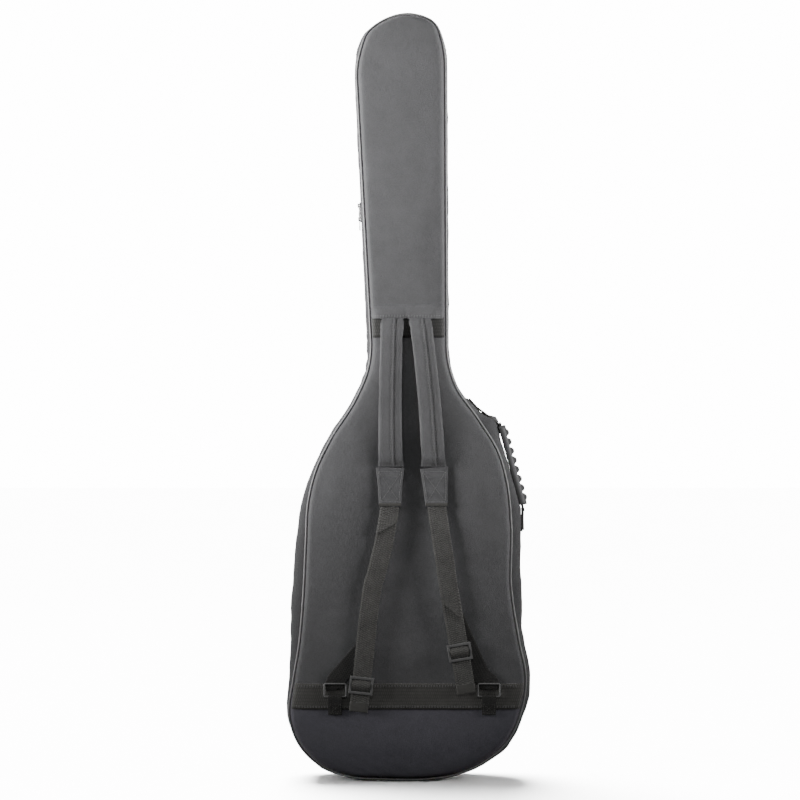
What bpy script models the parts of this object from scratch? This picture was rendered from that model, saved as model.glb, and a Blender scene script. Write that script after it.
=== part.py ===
"""Padded gig bag for a long-necked bass guitar, standing on its end.

Axes: +Z up to the top of the neck, -Y towards the strap side (the back), +X to the right as the
back is seen. The origin is the centre of the bag's box, at the bottom. Lengths are in metres.
"""

import math
from collections import namedtuple

import bmesh
import bpy
from mathutils import Matrix, Vector

# Overall sizes
LENGTH = 1.200
BODY_HALF_WIDTH = 0.191
NECK_HALF_WIDTH = 0.0575
GUSSET_DEPTH = 0.060

# Layers, from the seam between gusset and panel outwards
GAP = 0.0003
WALL = 0.004
LINING = 0.0008
FOAM = 0.005
SKIN = 0.0008
CROWN = 0.005
CROWN_RING = 0.016
PANEL_INSET = 0.0005
WEBBING = 0.0014
TAPE = 0.0015
PIPING_RADIUS = 0.002

LINING_IN = GAP
FOAM_IN = LINING_IN + LINING + GAP
SKIN_IN = FOAM_IN + FOAM + GAP
SKIN_OUT = SKIN_IN + SKIN
TAPE_IN = SKIN_OUT + GAP
FACE_OUT = SKIN_OUT + CROWN
FACE_TAPE_OUT = FACE_OUT + GAP + TAPE

# Zip: heights of its tape and coil from the gusset's outer face, which they stay below
ZIP_PLANE = 0.64
ZIP_HALF_OPENING = 0.007
ZIP_TAPE_LOW = -0.0040
ZIP_TAPE_HIGH = -0.0030
ZIP_COIL_LOW = -0.0015
ZIP_COIL_HIGH = -0.0002
ZIP_NECK_HALF = 0.001
ZIP_COIL_HALF = 0.003
ZIP_SPLIT = 0.00015
HINGE_LOW_Z = 0.105
HINGE_HIGH_Z = 0.235
SLIDER_LENGTH = 0.015
SLIDER_WIDTH = 0.011
SLIDER_PLATE = 0.0013
SLIDER_CLEARANCE = 0.0003
BRIDGE_LENGTH = 0.006
BRIDGE_WIDTH = 0.005
BRIDGE_HEIGHT = 0.0033
BRIDGE_FROM_END = 0.0045
PULL_THICK = 0.0014
PULL_WIDTH = 0.009
PULL_ARM = 0.0015
PULL_BAR = 0.0014
PULL_LENGTH = 0.018
SLIDER_MEETING_Z = 0.892
STOP_LENGTH = 0.0036
STOP_THICK = 0.0012
STOP_INSET = 0.004

# Webbing tapes across the back
NECK_TAPE_LOW_Z = 0.692
NECK_TAPE_HIGH_Z = 0.724
LOWER_TAPE_LOW_Z = 0.113
LOWER_TAPE_HIGH_Z = 0.153
CLOTH_SEAM_Z = 0.133

# Shoulder straps
STRAP_THICK = 0.012
STRAP_IN = FACE_TAPE_OUT + GAP
STRAP_OUT = STRAP_IN + STRAP_THICK
STRAP_LEFT = ((-0.0262, 0.724), (-0.0285, 0.600), (-0.0287, 0.488))
STRAP_RIGHT = ((0.0180, 0.724), (0.0318, 0.598), (0.0395, 0.488))
STRAP_TOP_WIDTH = 0.0415
STRAP_END_WIDTH = 0.0455
TAB_THICK = 0.003
TAB_TOP_WIDTH = 0.044
TAB_END_WIDTH = 0.034

# Adjusting webbing and its hardware
WEBBING_WIDTH = 0.029
WEBBING_LEFT = ((-0.0290, 0.4297), (-0.0375, 0.378), (-0.0500, 0.325), (-0.0590, 0.285))
WEBBING_RIGHT = ((0.0435, 0.4297), (0.0500, 0.385), (0.0570, 0.340), (0.0615, 0.308))
TAIL_LEFT_END = (-0.0780, 0.110)
TAIL_RIGHT_END = (0.0905, 0.1385)
GLIDE_LEFT_Z = 0.151
GLIDE_RIGHT_Z = 0.203
GLIDE_SIDE_CLEARANCE = 0.0008
GLIDE_LENGTH = 0.027
GLIDE_BAR = 0.0022
GLIDE_RAIL = 0.0032
GLIDE_WIDTH = WEBBING_WIDTH + 2 * (GLIDE_SIDE_CLEARANCE + GLIDE_RAIL)
GLIDE_END_BAR = 0.004
GLIDE_CENTRE_BAR = 0.005
RING_WEBBING_IN = FACE_TAPE_OUT + GAP
GLIDE_IN = RING_WEBBING_IN + WEBBING + GAP
WEBBING_IN = GLIDE_IN + GLIDE_BAR + GAP
GLIDE_THICK = 2 * GLIDE_BAR + WEBBING + 2 * GAP
RING_TO_GLIDE = 0.0035
RING_TO_WEBBING = 0.0015
RING_WIDTH = WEBBING_WIDTH + 0.008
RING_HEIGHT = 0.0225
RING_WIRE = 0.0013
RING_AXIS_Z = 0.1335
RING_WEBBING_RISE = 0.060
RING_TAB_WIDTH = 0.022
RING_TAB_LENGTH = 0.032
RING_TAB_PLY = 0.001
RING_CLEARANCE = 0.0003
RING_AXIS_OUT = FACE_TAPE_OUT + GAP + RING_TAB_PLY + RING_CLEARANCE + RING_WIRE

# Carry handle on the right-hand gusset
GRIP_TOP = (0.1405, 0.553)
GRIP_BOTTOM = (0.1755, 0.4275)
GRIP_THICK = 0.0125
GRIP_DEPTH = 0.024
GRIP_RIBS = 8
GRIP_RIB_HEIGHT = 0.0035
GRIP_WALL_BELOW = 0.003
HANDLE_WEBBING_DEPTH = 0.019
HANDLE_WEBBING = 0.0018
HANDLE_Y_SHARE = 0.35
PATCH_THICK = 0.0015
PATCH_LENGTH = 0.026
PATCH_UPPER_Z = 0.580
PATCH_LOWER_Z = 0.400

# Flat pocket on the front
POCKET_HALF_WIDTH = 0.120
POCKET_LOW_Z = 0.080
POCKET_HIGH_Z = 0.400
POCKET_CORNER = 0.035
POCKET_THICK = 0.004
POCKET_ZIP_MARGIN = 0.010
POCKET_ZIP_BASE = FACE_OUT + GAP - ZIP_TAPE_LOW
PULL_REACH = ZIP_COIL_HIGH + SLIDER_CLEARANCE + SLIDER_PLATE + BRIDGE_HEIGHT

# Depth of everything, which sets the middle of the bag's box
FRONT_STACK = POCKET_ZIP_BASE + PULL_REACH
BACK_SEAM_Y = -(STRAP_OUT + GUSSET_DEPTH + FRONT_STACK) / 2 + STRAP_OUT
FRONT_SEAM_Y = BACK_SEAM_Y + GUSSET_DEPTH
ZIP_Y = BACK_SEAM_Y + ZIP_PLANE * GUSSET_DEPTH

# Outline of the seam between gusset and panel. Body rows: height, how far in from the widest
# half-width, how far the gusset bulges past the seam. Neck rows: drop from the top, how far out
# from the neck's half-width, bulge.
BODY_RIGHT = (
    (0.004, 0.161, 0.004),
    (0.011, 0.116, 0.006),
    (0.031, 0.074, 0.009),
    (0.063, 0.038, 0.010),
    (0.110, 0.017, 0.010),
    (0.156, 0.010, 0.010),
    (0.219, 0.021, 0.011),
    (0.300, 0.033, 0.012),
    (0.400, 0.033, 0.010),
    (0.467, 0.040, 0.008),
    (0.510, 0.052, 0.007),
    (0.563, 0.084, 0.007),
    (0.618, 0.121, 0.006),
    (0.680, 0.134, 0.006),
)
NECK_RIGHT = (
    (0.090, -0.0025, 0.006),
    (0.050, -0.0065, 0.006),
    (0.017, -0.0195, 0.005),
)
NECK_APEX = (0.004, 0.004, 0.004)
NECK_LEFT = (
    (0.018, -0.0110, 0.005),
    (0.033, 0.0065, 0.007),
    (0.057, 0.0155, 0.008),
    (0.105, 0.0220, 0.0055),
)
BODY_LEFT = (
    (0.690, 0.1335, 0.0085),
    (0.645, 0.130, 0.007),
    (0.595, 0.110, 0.007),
    (0.531, 0.070, 0.007),
    (0.485, 0.048, 0.008),
    (0.430, 0.035, 0.012),
    (0.375, 0.032, 0.016),
    (0.290, 0.028, 0.018),
    (0.210, 0.021, 0.016),
    (0.155, 0.012, 0.010),
    (0.100, 0.006, 0.006),
    (0.057, 0.021, 0.005),
    (0.025, 0.053, 0.007),
    (0.007, 0.101, 0.005),
    (0.004, 0.151, 0.004),
)
POINT_STEP = 0.040
LONGEST_CURVED_RUN = 0.25

# Colours (linear), roughness
CLOTH = ((0.040, 0.040, 0.044), 0.85)
WEAR_CLOTH = ((0.032, 0.032, 0.038), 0.85)
WEB = ((0.022, 0.022, 0.020), 0.80)
TRIM = ((0.060, 0.060, 0.062), 0.60)
PLASTIC = ((0.030, 0.030, 0.032), 0.45)
RUBBER = ((0.028, 0.028, 0.030), 0.65)
PADDING = ((0.200, 0.200, 0.210), 0.90)
LINER = ((0.050, 0.050, 0.055), 0.80)
ZIP_METAL = ((0.080, 0.080, 0.080), 0.40)

Edge = namedtuple("Edge", "seam out bulge")


# Scene and object helpers

def clear_scene():
    for old in list(bpy.data.objects):
        bpy.data.objects.remove(old)


def new_collection(name):
    made = bpy.data.collections.new(name)
    bpy.context.scene.collection.children.link(made)
    return made


def plain_material(name, look):
    colour, roughness = look
    made = bpy.data.materials.new(name)
    made.use_nodes = True
    shader = made.node_tree.nodes["Principled BSDF"]
    shader.inputs["Base Color"].default_value = (*colour, 1.0)
    shader.inputs["Roughness"].default_value = roughness
    return made


def add_object(name, data, look):
    made = bpy.data.objects.new(name, data)
    data.materials.clear()
    data.materials.append(plain_material(name, look))
    PARTS.objects.link(made)
    return made


def mesh_from(bm, name):
    bmesh.ops.recalc_face_normals(bm, faces=bm.faces)
    data = bpy.data.meshes.new(name)
    bm.to_mesh(data)
    bm.free()
    return data


def add_cutter(name, data):
    made = bpy.data.objects.new(name, data)
    made.hide_render = True
    made.display_type = "WIRE"
    CUTTERS.objects.link(made)
    return made


def box_mesh(name, low, high):
    bm = bmesh.new()
    bmesh.ops.create_cube(bm, size=1.0)
    size = Vector(high) - Vector(low)
    middle = (Vector(high) + Vector(low)) / 2
    bmesh.ops.transform(bm, matrix=Matrix.Translation(middle) @ Matrix.Diagonal((*size, 1.0)), verts=bm.verts)
    return mesh_from(bm, name)


def cut(target, cutter, operation="DIFFERENCE"):
    change = target.modifiers.new(cutter.name, "BOOLEAN")
    change.operation = operation
    change.object = cutter
    change.solver = "EXACT"


def bevel(target, width, segments=1):
    change = target.modifiers.new("edges", "BEVEL")
    change.width = width
    change.segments = segments
    change.limit_method = "ANGLE"


# The outline and its stretches

def stations():
    """Seam stations as (x, height, bulge), up the right side and down the left."""
    found = [Vector((BODY_HALF_WIDTH - inset, z, bulge)) for z, inset, bulge in BODY_RIGHT]
    found += [Vector((NECK_HALF_WIDTH + out, LENGTH - drop, bulge)) for drop, out, bulge in NECK_RIGHT]
    drop, x, bulge = NECK_APEX
    found.append(Vector((x, LENGTH - drop, bulge)))
    found += [Vector((-NECK_HALF_WIDTH - out, LENGTH - drop, bulge)) for drop, out, bulge in NECK_LEFT]
    found += [Vector((inset - BODY_HALF_WIDTH, z, bulge)) for z, inset, bulge in BODY_LEFT]
    return found


def tangent_at(points, i):
    """Direction of the curve at a station, along any straight run that ends there."""
    before = points[i] - points[i - 1]
    after = points[(i + 1) % len(points)] - points[i]
    if after.length > LONGEST_CURVED_RUN:
        return after.normalized()
    if before.length > LONGEST_CURVED_RUN:
        return before.normalized()
    return (before.normalized() * after.length + after.normalized() * before.length) / (
        before.length + after.length
    )


def curve_point(start, end, leave, arrive, t):
    """Point at t of a Hermite curve whose end tangents have the length of the run."""
    run = (end - start).length
    return (
        start * (2 * t**3 - 3 * t**2 + 1)
        + leave * run * (t**3 - 2 * t**2 + t)
        + end * (3 * t**2 - 2 * t**3)
        + arrive * run * (t**3 - t**2)
    )


def smooth_outline():
    """The closed outline as Edge points: seam point (x, z), outward normal (x, z) and bulge."""
    given = stations()
    points = []
    for i, start in enumerate(given):
        following = (i + 1) % len(given)
        end = given[following]
        run = (end - start).length
        flat = start.y == end.y
        count = 1 if run > LONGEST_CURVED_RUN or flat else max(1, round(run / POINT_STEP))
        leave, arrive = tangent_at(given, i), tangent_at(given, following)
        points += [curve_point(start, end, leave, arrive, step / count) for step in range(count)]
    edges = []
    for i, point in enumerate(points):
        before = (point - points[i - 1]).xy.normalized()
        after = (points[(i + 1) % len(points)] - point).xy.normalized()
        along = (before + after).normalized()
        edges.append(Edge(point.xy, Vector((along.y, -along.x)), point.z))
    reach = [at.seam.x + at.out.x * at.bulge for at in edges]
    middle = Vector(((max(reach) + min(reach)) / 2, 0.0))
    return [Edge(at.seam - middle, at.out, at.bulge) for at in edges]


def blend_edges(first, second, t):
    return Edge(
        first.seam.lerp(second.seam, t),
        first.out.lerp(second.out, t),
        first.bulge + (second.bulge - first.bulge) * t,
    )


def place_at(height, right):
    """Where the outline passes a height on one side, as a fractional index into OUTLINE."""
    count = len(OUTLINE)
    for i in range(count):
        low, high = OUTLINE[i].seam, OUTLINE[(i + 1) % count].seam
        upward = high.y > low.y
        if upward == right and low.y != high.y and min(low.y, high.y) <= height <= max(low.y, high.y):
            return i + (height - low.y) / (high.y - low.y)
    raise ValueError("no such height on the outline")


def edge_at(place):
    i = math.floor(place)
    return blend_edges(OUTLINE[i % len(OUTLINE)], OUTLINE[(i + 1) % len(OUTLINE)], place - i)


def shortened(start_edge, next_edge):
    """The start of a stretch, drawn in by half the gap between neighbouring pieces."""
    run = (next_edge.seam - start_edge.seam).length
    return blend_edges(start_edge, next_edge, min(0.5, GAP / run))


def stretch(start, end):
    """Edge points from one place to another, anticlockwise as the back is seen."""
    count = len(OUTLINE)
    if end < start:
        end += count
    inner = range(math.floor(start) + 1, math.ceil(end))
    found = [edge_at(start)] + [OUTLINE[i % count] for i in inner] + [edge_at(end)]
    found[0] = shortened(found[0], found[1])
    found[-1] = shortened(found[-1], found[-2])
    return found


def off_seam(edge, out):
    return edge.seam + edge.out * out


def gusset_point(height, right, lift=0.0):
    """Point (x, z) on the gusset's outer face, or lifted off it."""
    edge = edge_at(place_at(height, right))
    return off_seam(edge, edge.bulge + lift)


# Sweeps round the outline

def sweep(name, edges, section, closed, look):
    """A solid whose cross-section, (out, y) corners worked out from the bulge, follows the outline."""
    bm = bmesh.new()
    rings = []
    for edge in edges:
        corners = [(off_seam(edge, out), y) for out, y in section(edge.bulge)]
        rings.append([bm.verts.new((at.x, y, at.y)) for at, y in corners])
    following = rings[1:] + rings[:1] if closed else rings[1:]
    for ring, after in zip(rings, following):
        for k in range(len(ring)):
            last = (k + 1) % len(ring)
            bm.faces.new((ring[k], ring[last], after[last], after[k]))
    if not closed:
        bm.faces.new(rings[0])
        bm.faces.new(rings[-1][::-1])
    return add_object(name, mesh_from(bm, name), look)


def wall_line(bulge):
    """Outer line of the gusset's back half, from the seam to the zip's opening."""
    return (
        (0.0, BACK_SEAM_Y),
        (0.75 * bulge, BACK_SEAM_Y + 0.10 * GUSSET_DEPTH),
        (bulge, BACK_SEAM_Y + 0.22 * GUSSET_DEPTH),
        (bulge, ZIP_Y - ZIP_HALF_OPENING),
    )


def front_wall_line(bulge):
    return (
        (0.0, FRONT_SEAM_Y),
        (0.75 * bulge, FRONT_SEAM_Y - 0.08 * GUSSET_DEPTH),
        (bulge, FRONT_SEAM_Y - 0.15 * GUSSET_DEPTH),
        (bulge, ZIP_Y + ZIP_HALF_OPENING),
    )


def thick(line, outer, inner):
    """A section between two lines at the given distances out from a line of (out, y) points."""
    return [(out + outer, y) for out, y in line] + [(out + inner, y) for out, y in reversed(line)]


def gusset_section(bulge):
    return thick(wall_line(bulge), 0.0, -WALL)


def front_gusset_section(bulge):
    return thick(front_wall_line(bulge), 0.0, -WALL)


def web_section(bulge):
    half = ZIP_HALF_OPENING - GAP
    return thick(((bulge, ZIP_Y - half), (bulge, ZIP_Y + half)), ZIP_TAPE_HIGH, ZIP_TAPE_LOW)


def zip_half_section(bulge, side):
    """Half of the closed zip: tape, neck and coil. side is -1 on the back half, +1 on the front."""
    levels = [bulge + level for level in (ZIP_TAPE_LOW, ZIP_TAPE_HIGH, ZIP_COIL_LOW, ZIP_COIL_HIGH)]
    tape_low, tape_high, coil_low, coil_high = levels
    inner = ZIP_Y + side * ZIP_SPLIT
    neck = ZIP_Y + side * ZIP_NECK_HALF
    coil = ZIP_Y + side * ZIP_COIL_HALF
    edge = ZIP_Y + side * (ZIP_HALF_OPENING - GAP)
    return [
        (tape_low, inner),
        (tape_low, edge),
        (tape_high, edge),
        (tape_high, neck),
        (coil_low, neck),
        (coil_low, coil),
        (coil_high, coil),
        (coil_high, inner),
    ]


def piping_section(seam_y, side):
    """Round cord in the corner between the panel's edge and the gusset."""
    centre_out = PIPING_RADIUS + GAP - PANEL_INSET
    centre_y = seam_y + side * (PIPING_RADIUS + GAP)
    corners = [math.tau * k / 6 for k in range(6)]
    return [
        (centre_out + PIPING_RADIUS * math.cos(a), centre_y + PIPING_RADIUS * math.sin(a))
        for a in corners
    ]


def make_gusset():
    """Back and front halves of the side strip, each in four cut lengths."""
    low_right, low_left = place_at(0.060, True), place_at(0.060, False)
    high_right, high_left = place_at(LENGTH - 0.060, True), place_at(LENGTH - 0.060, False)
    runs = {
        "right": (low_right, high_right),
        "top": (high_right, high_left),
        "left": (high_left, low_left),
        "bottom": (low_left, low_right),
    }
    for name, (start, end) in runs.items():
        sweep("gusset_" + name, stretch(start, end), gusset_section, False, CLOTH)
        sweep("front_gusset_" + name, stretch(start, end), front_gusset_section, False, CLOTH)


def make_main_zip():
    hinge_low, hinge_high = place_at(HINGE_LOW_Z, True), place_at(HINGE_HIGH_Z, True)
    around = stretch(hinge_high, hinge_low)
    sweep("zip_tape_back", around, lambda bulge: zip_half_section(bulge, -1), False, WEB)
    sweep("zip_tape_front", around, lambda bulge: zip_half_section(bulge, 1), False, WEB)
    sweep("hinge_web", stretch(hinge_low, hinge_high), web_section, False, CLOTH)


def make_piping():
    sweep("back_piping", OUTLINE, lambda bulge: piping_section(BACK_SEAM_Y, -1), True, TRIM)
    sweep("front_piping", OUTLINE, lambda bulge: piping_section(FRONT_SEAM_Y, 1), True, TRIM)


# Crowned panels

def crowned_mesh(name, seam_y, side, level, thickness):
    """A sheet in the outline's shape whose middle stands out by the crown."""
    bm = bmesh.new()
    layers = []
    for lift in (level, level + thickness):
        rim_y = seam_y + side * lift
        rim = [off_seam(edge, -PANEL_INSET) for edge in OUTLINE]
        field = [off_seam(edge, -CROWN_RING) for edge in OUTLINE]
        outer = [bm.verts.new((at.x, rim_y, at.y)) for at in rim]
        inner = [bm.verts.new((at.x, rim_y + side * CROWN, at.y)) for at in field]
        bm.faces.new(inner)
        layers.append((outer, inner))
    (low_rim, low_field), (high_rim, high_field) = layers
    count = len(OUTLINE)
    for i in range(count):
        j = (i + 1) % count
        bm.faces.new((low_rim[i], low_rim[j], low_field[j], low_field[i]))
        bm.faces.new((high_rim[i], high_rim[j], high_field[j], high_field[i]))
        bm.faces.new((low_rim[i], low_rim[j], high_rim[j], high_rim[i]))
    return mesh_from(bm, name)


def band_cutter(name, low_z, high_z):
    reach = 2 * BODY_HALF_WIDTH
    depth = 2 * GUSSET_DEPTH
    return add_cutter(name, box_mesh(name, (-reach, -depth, low_z), (reach, depth, high_z)))


def crowned(name, seam_y, side, level, thickness, look):
    return add_object(name, crowned_mesh(name, seam_y, side, level, thickness), look)


def make_back_panel():
    crowned("back_lining", BACK_SEAM_Y, -1, LINING_IN, LINING, LINER)
    crowned("back_foam", BACK_SEAM_Y, -1, FOAM_IN, FOAM, PADDING)
    upper = crowned("back_panel", BACK_SEAM_Y, -1, SKIN_IN, SKIN, CLOTH)
    cut(upper, band_cutter("above_cloth_seam", CLOTH_SEAM_Z + GAP / 2, 2 * LENGTH), "INTERSECT")
    lower = crowned("bottom_wear_panel", BACK_SEAM_Y, -1, SKIN_IN, SKIN, WEAR_CLOTH)
    cut(lower, band_cutter("below_cloth_seam", -LENGTH, CLOTH_SEAM_Z - GAP / 2), "INTERSECT")
    tapes = {
        "neck_tape": (NECK_TAPE_LOW_Z, NECK_TAPE_HIGH_Z),
        "lower_tape": (LOWER_TAPE_LOW_Z, LOWER_TAPE_HIGH_Z),
    }
    for name, (low_z, high_z) in tapes.items():
        tape = crowned(name, BACK_SEAM_Y, -1, TAPE_IN, TAPE, WEB)
        cut(tape, band_cutter(name + "_band", low_z, high_z), "INTERSECT")


def make_front_panel():
    crowned("front_lining", FRONT_SEAM_Y, 1, LINING_IN, LINING, LINER)
    crowned("front_foam", FRONT_SEAM_Y, 1, FOAM_IN, FOAM, PADDING)
    crowned("front_panel", FRONT_SEAM_Y, 1, SKIN_IN, SKIN, CLOTH)


# Flat outlines on the back

def slab(name, outline, near, thickness, look, rounding=0.0):
    """A flat piece on the back: its outline in (x, z), from a level outwards."""
    data = bpy.data.curves.new(name, "CURVE")
    data.dimensions = "2D"
    data.fill_mode = "BOTH"
    data.extrude = thickness / 2
    spline = data.splines.new("POLY")
    spline.points.add(len(outline) - 1)
    for point, (x, z) in zip(spline.points, outline):
        point.co = (x, z, 0.0, 1.0)
    spline.use_cyclic_u = True
    made = add_object(name, data, look)
    made.rotation_euler = (math.pi / 2, 0.0, 0.0)
    made.location = (0.0, BACK_SEAM_Y - near - thickness / 2, 0.0)
    if rounding:
        weld = made.modifiers.new("weld", "WELD")
        weld.merge_threshold = 0.00001
        bevel(made, rounding, 2)
    return made


def ribbon_outline(path, widths, level_start=False, level_end=False):
    """Outline of a flat ribbon with its middle on the path, as (x, z). A level end is horizontal."""
    points = [Vector(at) for at in path]
    left, right = [], []
    for i, (at, width) in enumerate(zip(points, widths)):
        along = (points[min(i + 1, len(points) - 1)] - points[max(i - 1, 0)]).normalized()
        across = Vector((-along.y, along.x)) * width / 2
        if (level_start and i == 0) or (level_end and at is points[-1]):
            across = Vector((math.copysign(width / 2, -along.y), 0.0))
        left.append(at + across)
        right.append(at - across)
    return left + right[::-1]


def make_strap(side, line, webbing, tail_end):
    top, middle, end = (Vector(at) for at in line)
    widths = (STRAP_TOP_WIDTH, (STRAP_TOP_WIDTH + STRAP_END_WIDTH) / 2, STRAP_END_WIDTH)
    pad = ribbon_outline((top, middle, end), widths, True, True)
    slab("shoulder_strap_" + side, pad, STRAP_IN, STRAP_THICK, CLOTH, 0.002)
    tab_near = WEBBING_IN + WEBBING / 2 - TAB_THICK / 2
    tab_top = end - Vector((0.0, GAP))
    webbing_top = Vector(webbing[0])
    tab_end = webbing_top + Vector((0.0, GAP))
    tab = ribbon_outline((tab_top, tab_end), (TAB_TOP_WIDTH, TAB_END_WIDTH), True, True)
    slab("strap_tab_" + side, tab, tab_near, TAB_THICK, CLOTH)
    upper = ribbon_outline(webbing, [WEBBING_WIDTH] * len(webbing), True, True)
    slab("strap_webbing_" + side, upper, WEBBING_IN, WEBBING, WEB)
    low, tail = Vector(webbing[-1]), Vector(tail_end)
    start = low - Vector((0.0, GAP))
    lower = ribbon_outline((start, tail), [WEBBING_WIDTH] * 2, True)
    slab("webbing_tail_" + side, lower, WEBBING_IN, WEBBING, WEB)


def line_at_height(start, end, height):
    start, end = Vector(start), Vector(end)
    return start.lerp(end, (start.y - height) / (start.y - end.y))


def tri_glide_mesh():
    """Frame with its end bars in front of the webbing and its centre bar behind it.

    Local axes: x across the webbing, y outwards from the back, z along the webbing.
    """
    width, length, deep = GLIDE_WIDTH / 2, GLIDE_LENGTH / 2, GLIDE_THICK
    inside = width - GLIDE_RAIL
    body = bpy.data.objects.new("glide", box_mesh("glide", (-width, 0.0, -length), (width, deep, length)))
    CUTTERS.objects.link(body)
    slot_low, slot_high = GLIDE_BAR, deep - GLIDE_BAR
    window = length - GLIDE_END_BAR
    half_bar = GLIDE_CENTRE_BAR / 2
    past = 2 * length
    cuts = {
        "glide_slot": ((-inside, slot_low, -past), (inside, slot_high, past)),
        "glide_window": ((-inside, slot_low, -window), (inside, 2 * deep, window)),
        "glide_back_above": ((-inside, -deep, half_bar), (inside, slot_high, past)),
        "glide_back_below": ((-inside, -deep, -past), (inside, slot_high, -half_bar)),
    }
    for name, (low, high) in cuts.items():
        cut(body, add_cutter(name, box_mesh(name, low, high)))
    bpy.context.view_layer.update()
    evaluated = body.evaluated_get(bpy.context.evaluated_depsgraph_get())
    made = bpy.data.meshes.new_from_object(evaluated)
    bpy.data.objects.remove(body)
    for name in cuts:
        bpy.data.objects.remove(bpy.data.objects[name])
    return made


def make_tri_glides():
    shape = tri_glide_mesh()
    places = {
        "left": (WEBBING_LEFT[-1], TAIL_LEFT_END, GLIDE_LEFT_Z),
        "right": (WEBBING_RIGHT[-1], TAIL_RIGHT_END, GLIDE_RIGHT_Z),
    }
    for side, (start, end, height) in places.items():
        made = add_object("tri_glide_" + side, shape.copy(), PLASTIC)
        at = line_at_height(start, end, height)
        along = (Vector(start) - Vector(end)).normalized()
        # Local y points outwards, which is -Y here, so the frame turns half round about its length.
        lean = math.atan2(along.x, along.y)
        made.matrix_world = (
            Matrix.Translation((at.x, BACK_SEAM_Y - GLIDE_IN, at.y))
            @ Matrix.Rotation(lean, 4, "Y")
            @ Matrix.Rotation(math.pi, 4, "Z")
        )


def make_ring(side, x):
    """Rectangular wire ring standing up from its axis, which is its lower bar."""
    data = bpy.data.curves.new("ring_" + side, "CURVE")
    data.dimensions = "3D"
    data.bevel_depth = RING_WIRE
    data.bevel_resolution = 2
    half, high, corner = RING_WIDTH / 2 - RING_WIRE, RING_HEIGHT - 2 * RING_WIRE, 0.002
    outline = (
        (-half + corner, 0.0), (half - corner, 0.0), (half, corner), (half, high - corner),
        (half - corner, high), (-half + corner, high), (-half, high - corner), (-half, corner),
    )
    spline = data.splines.new("POLY")
    spline.points.add(len(outline) - 1)
    for point, (across, up) in zip(spline.points, outline):
        point.co = (across, 0.0, up, 1.0)
    spline.use_cyclic_u = True
    made = add_object("ring_" + side, data, PLASTIC)
    made.location = (x, BACK_SEAM_Y - RING_AXIS_OUT, RING_AXIS_Z)


def make_ring_tab(side, x):
    """Short webbing loop sewn to the lower tape, round the ring's lower bar."""
    radius = RING_WIRE + RING_CLEARANCE
    outer = radius + RING_TAB_PLY
    middle_y = BACK_SEAM_Y - RING_AXIS_OUT
    half = RING_TAB_WIDTH / 2
    high = RING_AXIS_Z + outer
    low = (x - half, middle_y - outer, high - RING_TAB_LENGTH)
    name = "ring_tab_" + side
    tab = add_object(name, box_mesh(name, low, (x + half, middle_y + outer, high)), WEB)
    bm = bmesh.new()
    turn = Matrix.Translation((x, middle_y, RING_AXIS_Z)) @ Matrix.Rotation(math.pi / 2, 4, "Y")
    bmesh.ops.create_cone(
        bm, cap_ends=True, segments=12, radius1=radius, radius2=radius, depth=2 * RING_TAB_WIDTH, matrix=turn
    )
    cut(tab, add_cutter(name + "_bore", mesh_from(bm, name + "_bore")))


def make_ring_webbing(side, x, start, end, glide_z):
    """Webbing behind the tri-glide, from the ring's upper bar up to the strap's webbing."""
    ring_top = Vector((x, RING_AXIS_Z + RING_HEIGHT - RING_WIRE + GAP))
    meeting = line_at_height(start, end, glide_z + RING_WEBBING_RISE)
    outline = ribbon_outline((ring_top, meeting), [WEBBING_WIDTH] * 2, True, True)
    slab("ring_webbing_" + side, outline, RING_WEBBING_IN, WEBBING, WEB)


def ring_places():
    """Middle of each ring: the left one beside its tri-glide, the right one beside the tail."""
    glide = line_at_height(WEBBING_LEFT[-1], TAIL_LEFT_END, GLIDE_LEFT_Z)
    left = glide.x - (GLIDE_WIDTH + RING_WIDTH) / 2 - RING_TO_GLIDE
    right = TAIL_RIGHT_END[0] + (WEBBING_WIDTH + RING_WIDTH) / 2 + RING_TO_WEBBING
    return left, right


def make_hardware():
    left, right = ring_places()
    sides = {
        "left": (left, WEBBING_LEFT[-1], TAIL_LEFT_END, GLIDE_LEFT_Z),
        "right": (right, WEBBING_RIGHT[-1], TAIL_RIGHT_END, GLIDE_RIGHT_Z),
    }
    for side, (x, start, end, glide_z) in sides.items():
        make_ring(side, x)
        make_ring_tab(side, x)
        make_ring_webbing(side, x, start, end, glide_z)


# Zip sliders and pulls, in local axes: x outwards, y across the zip, z along it

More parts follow.
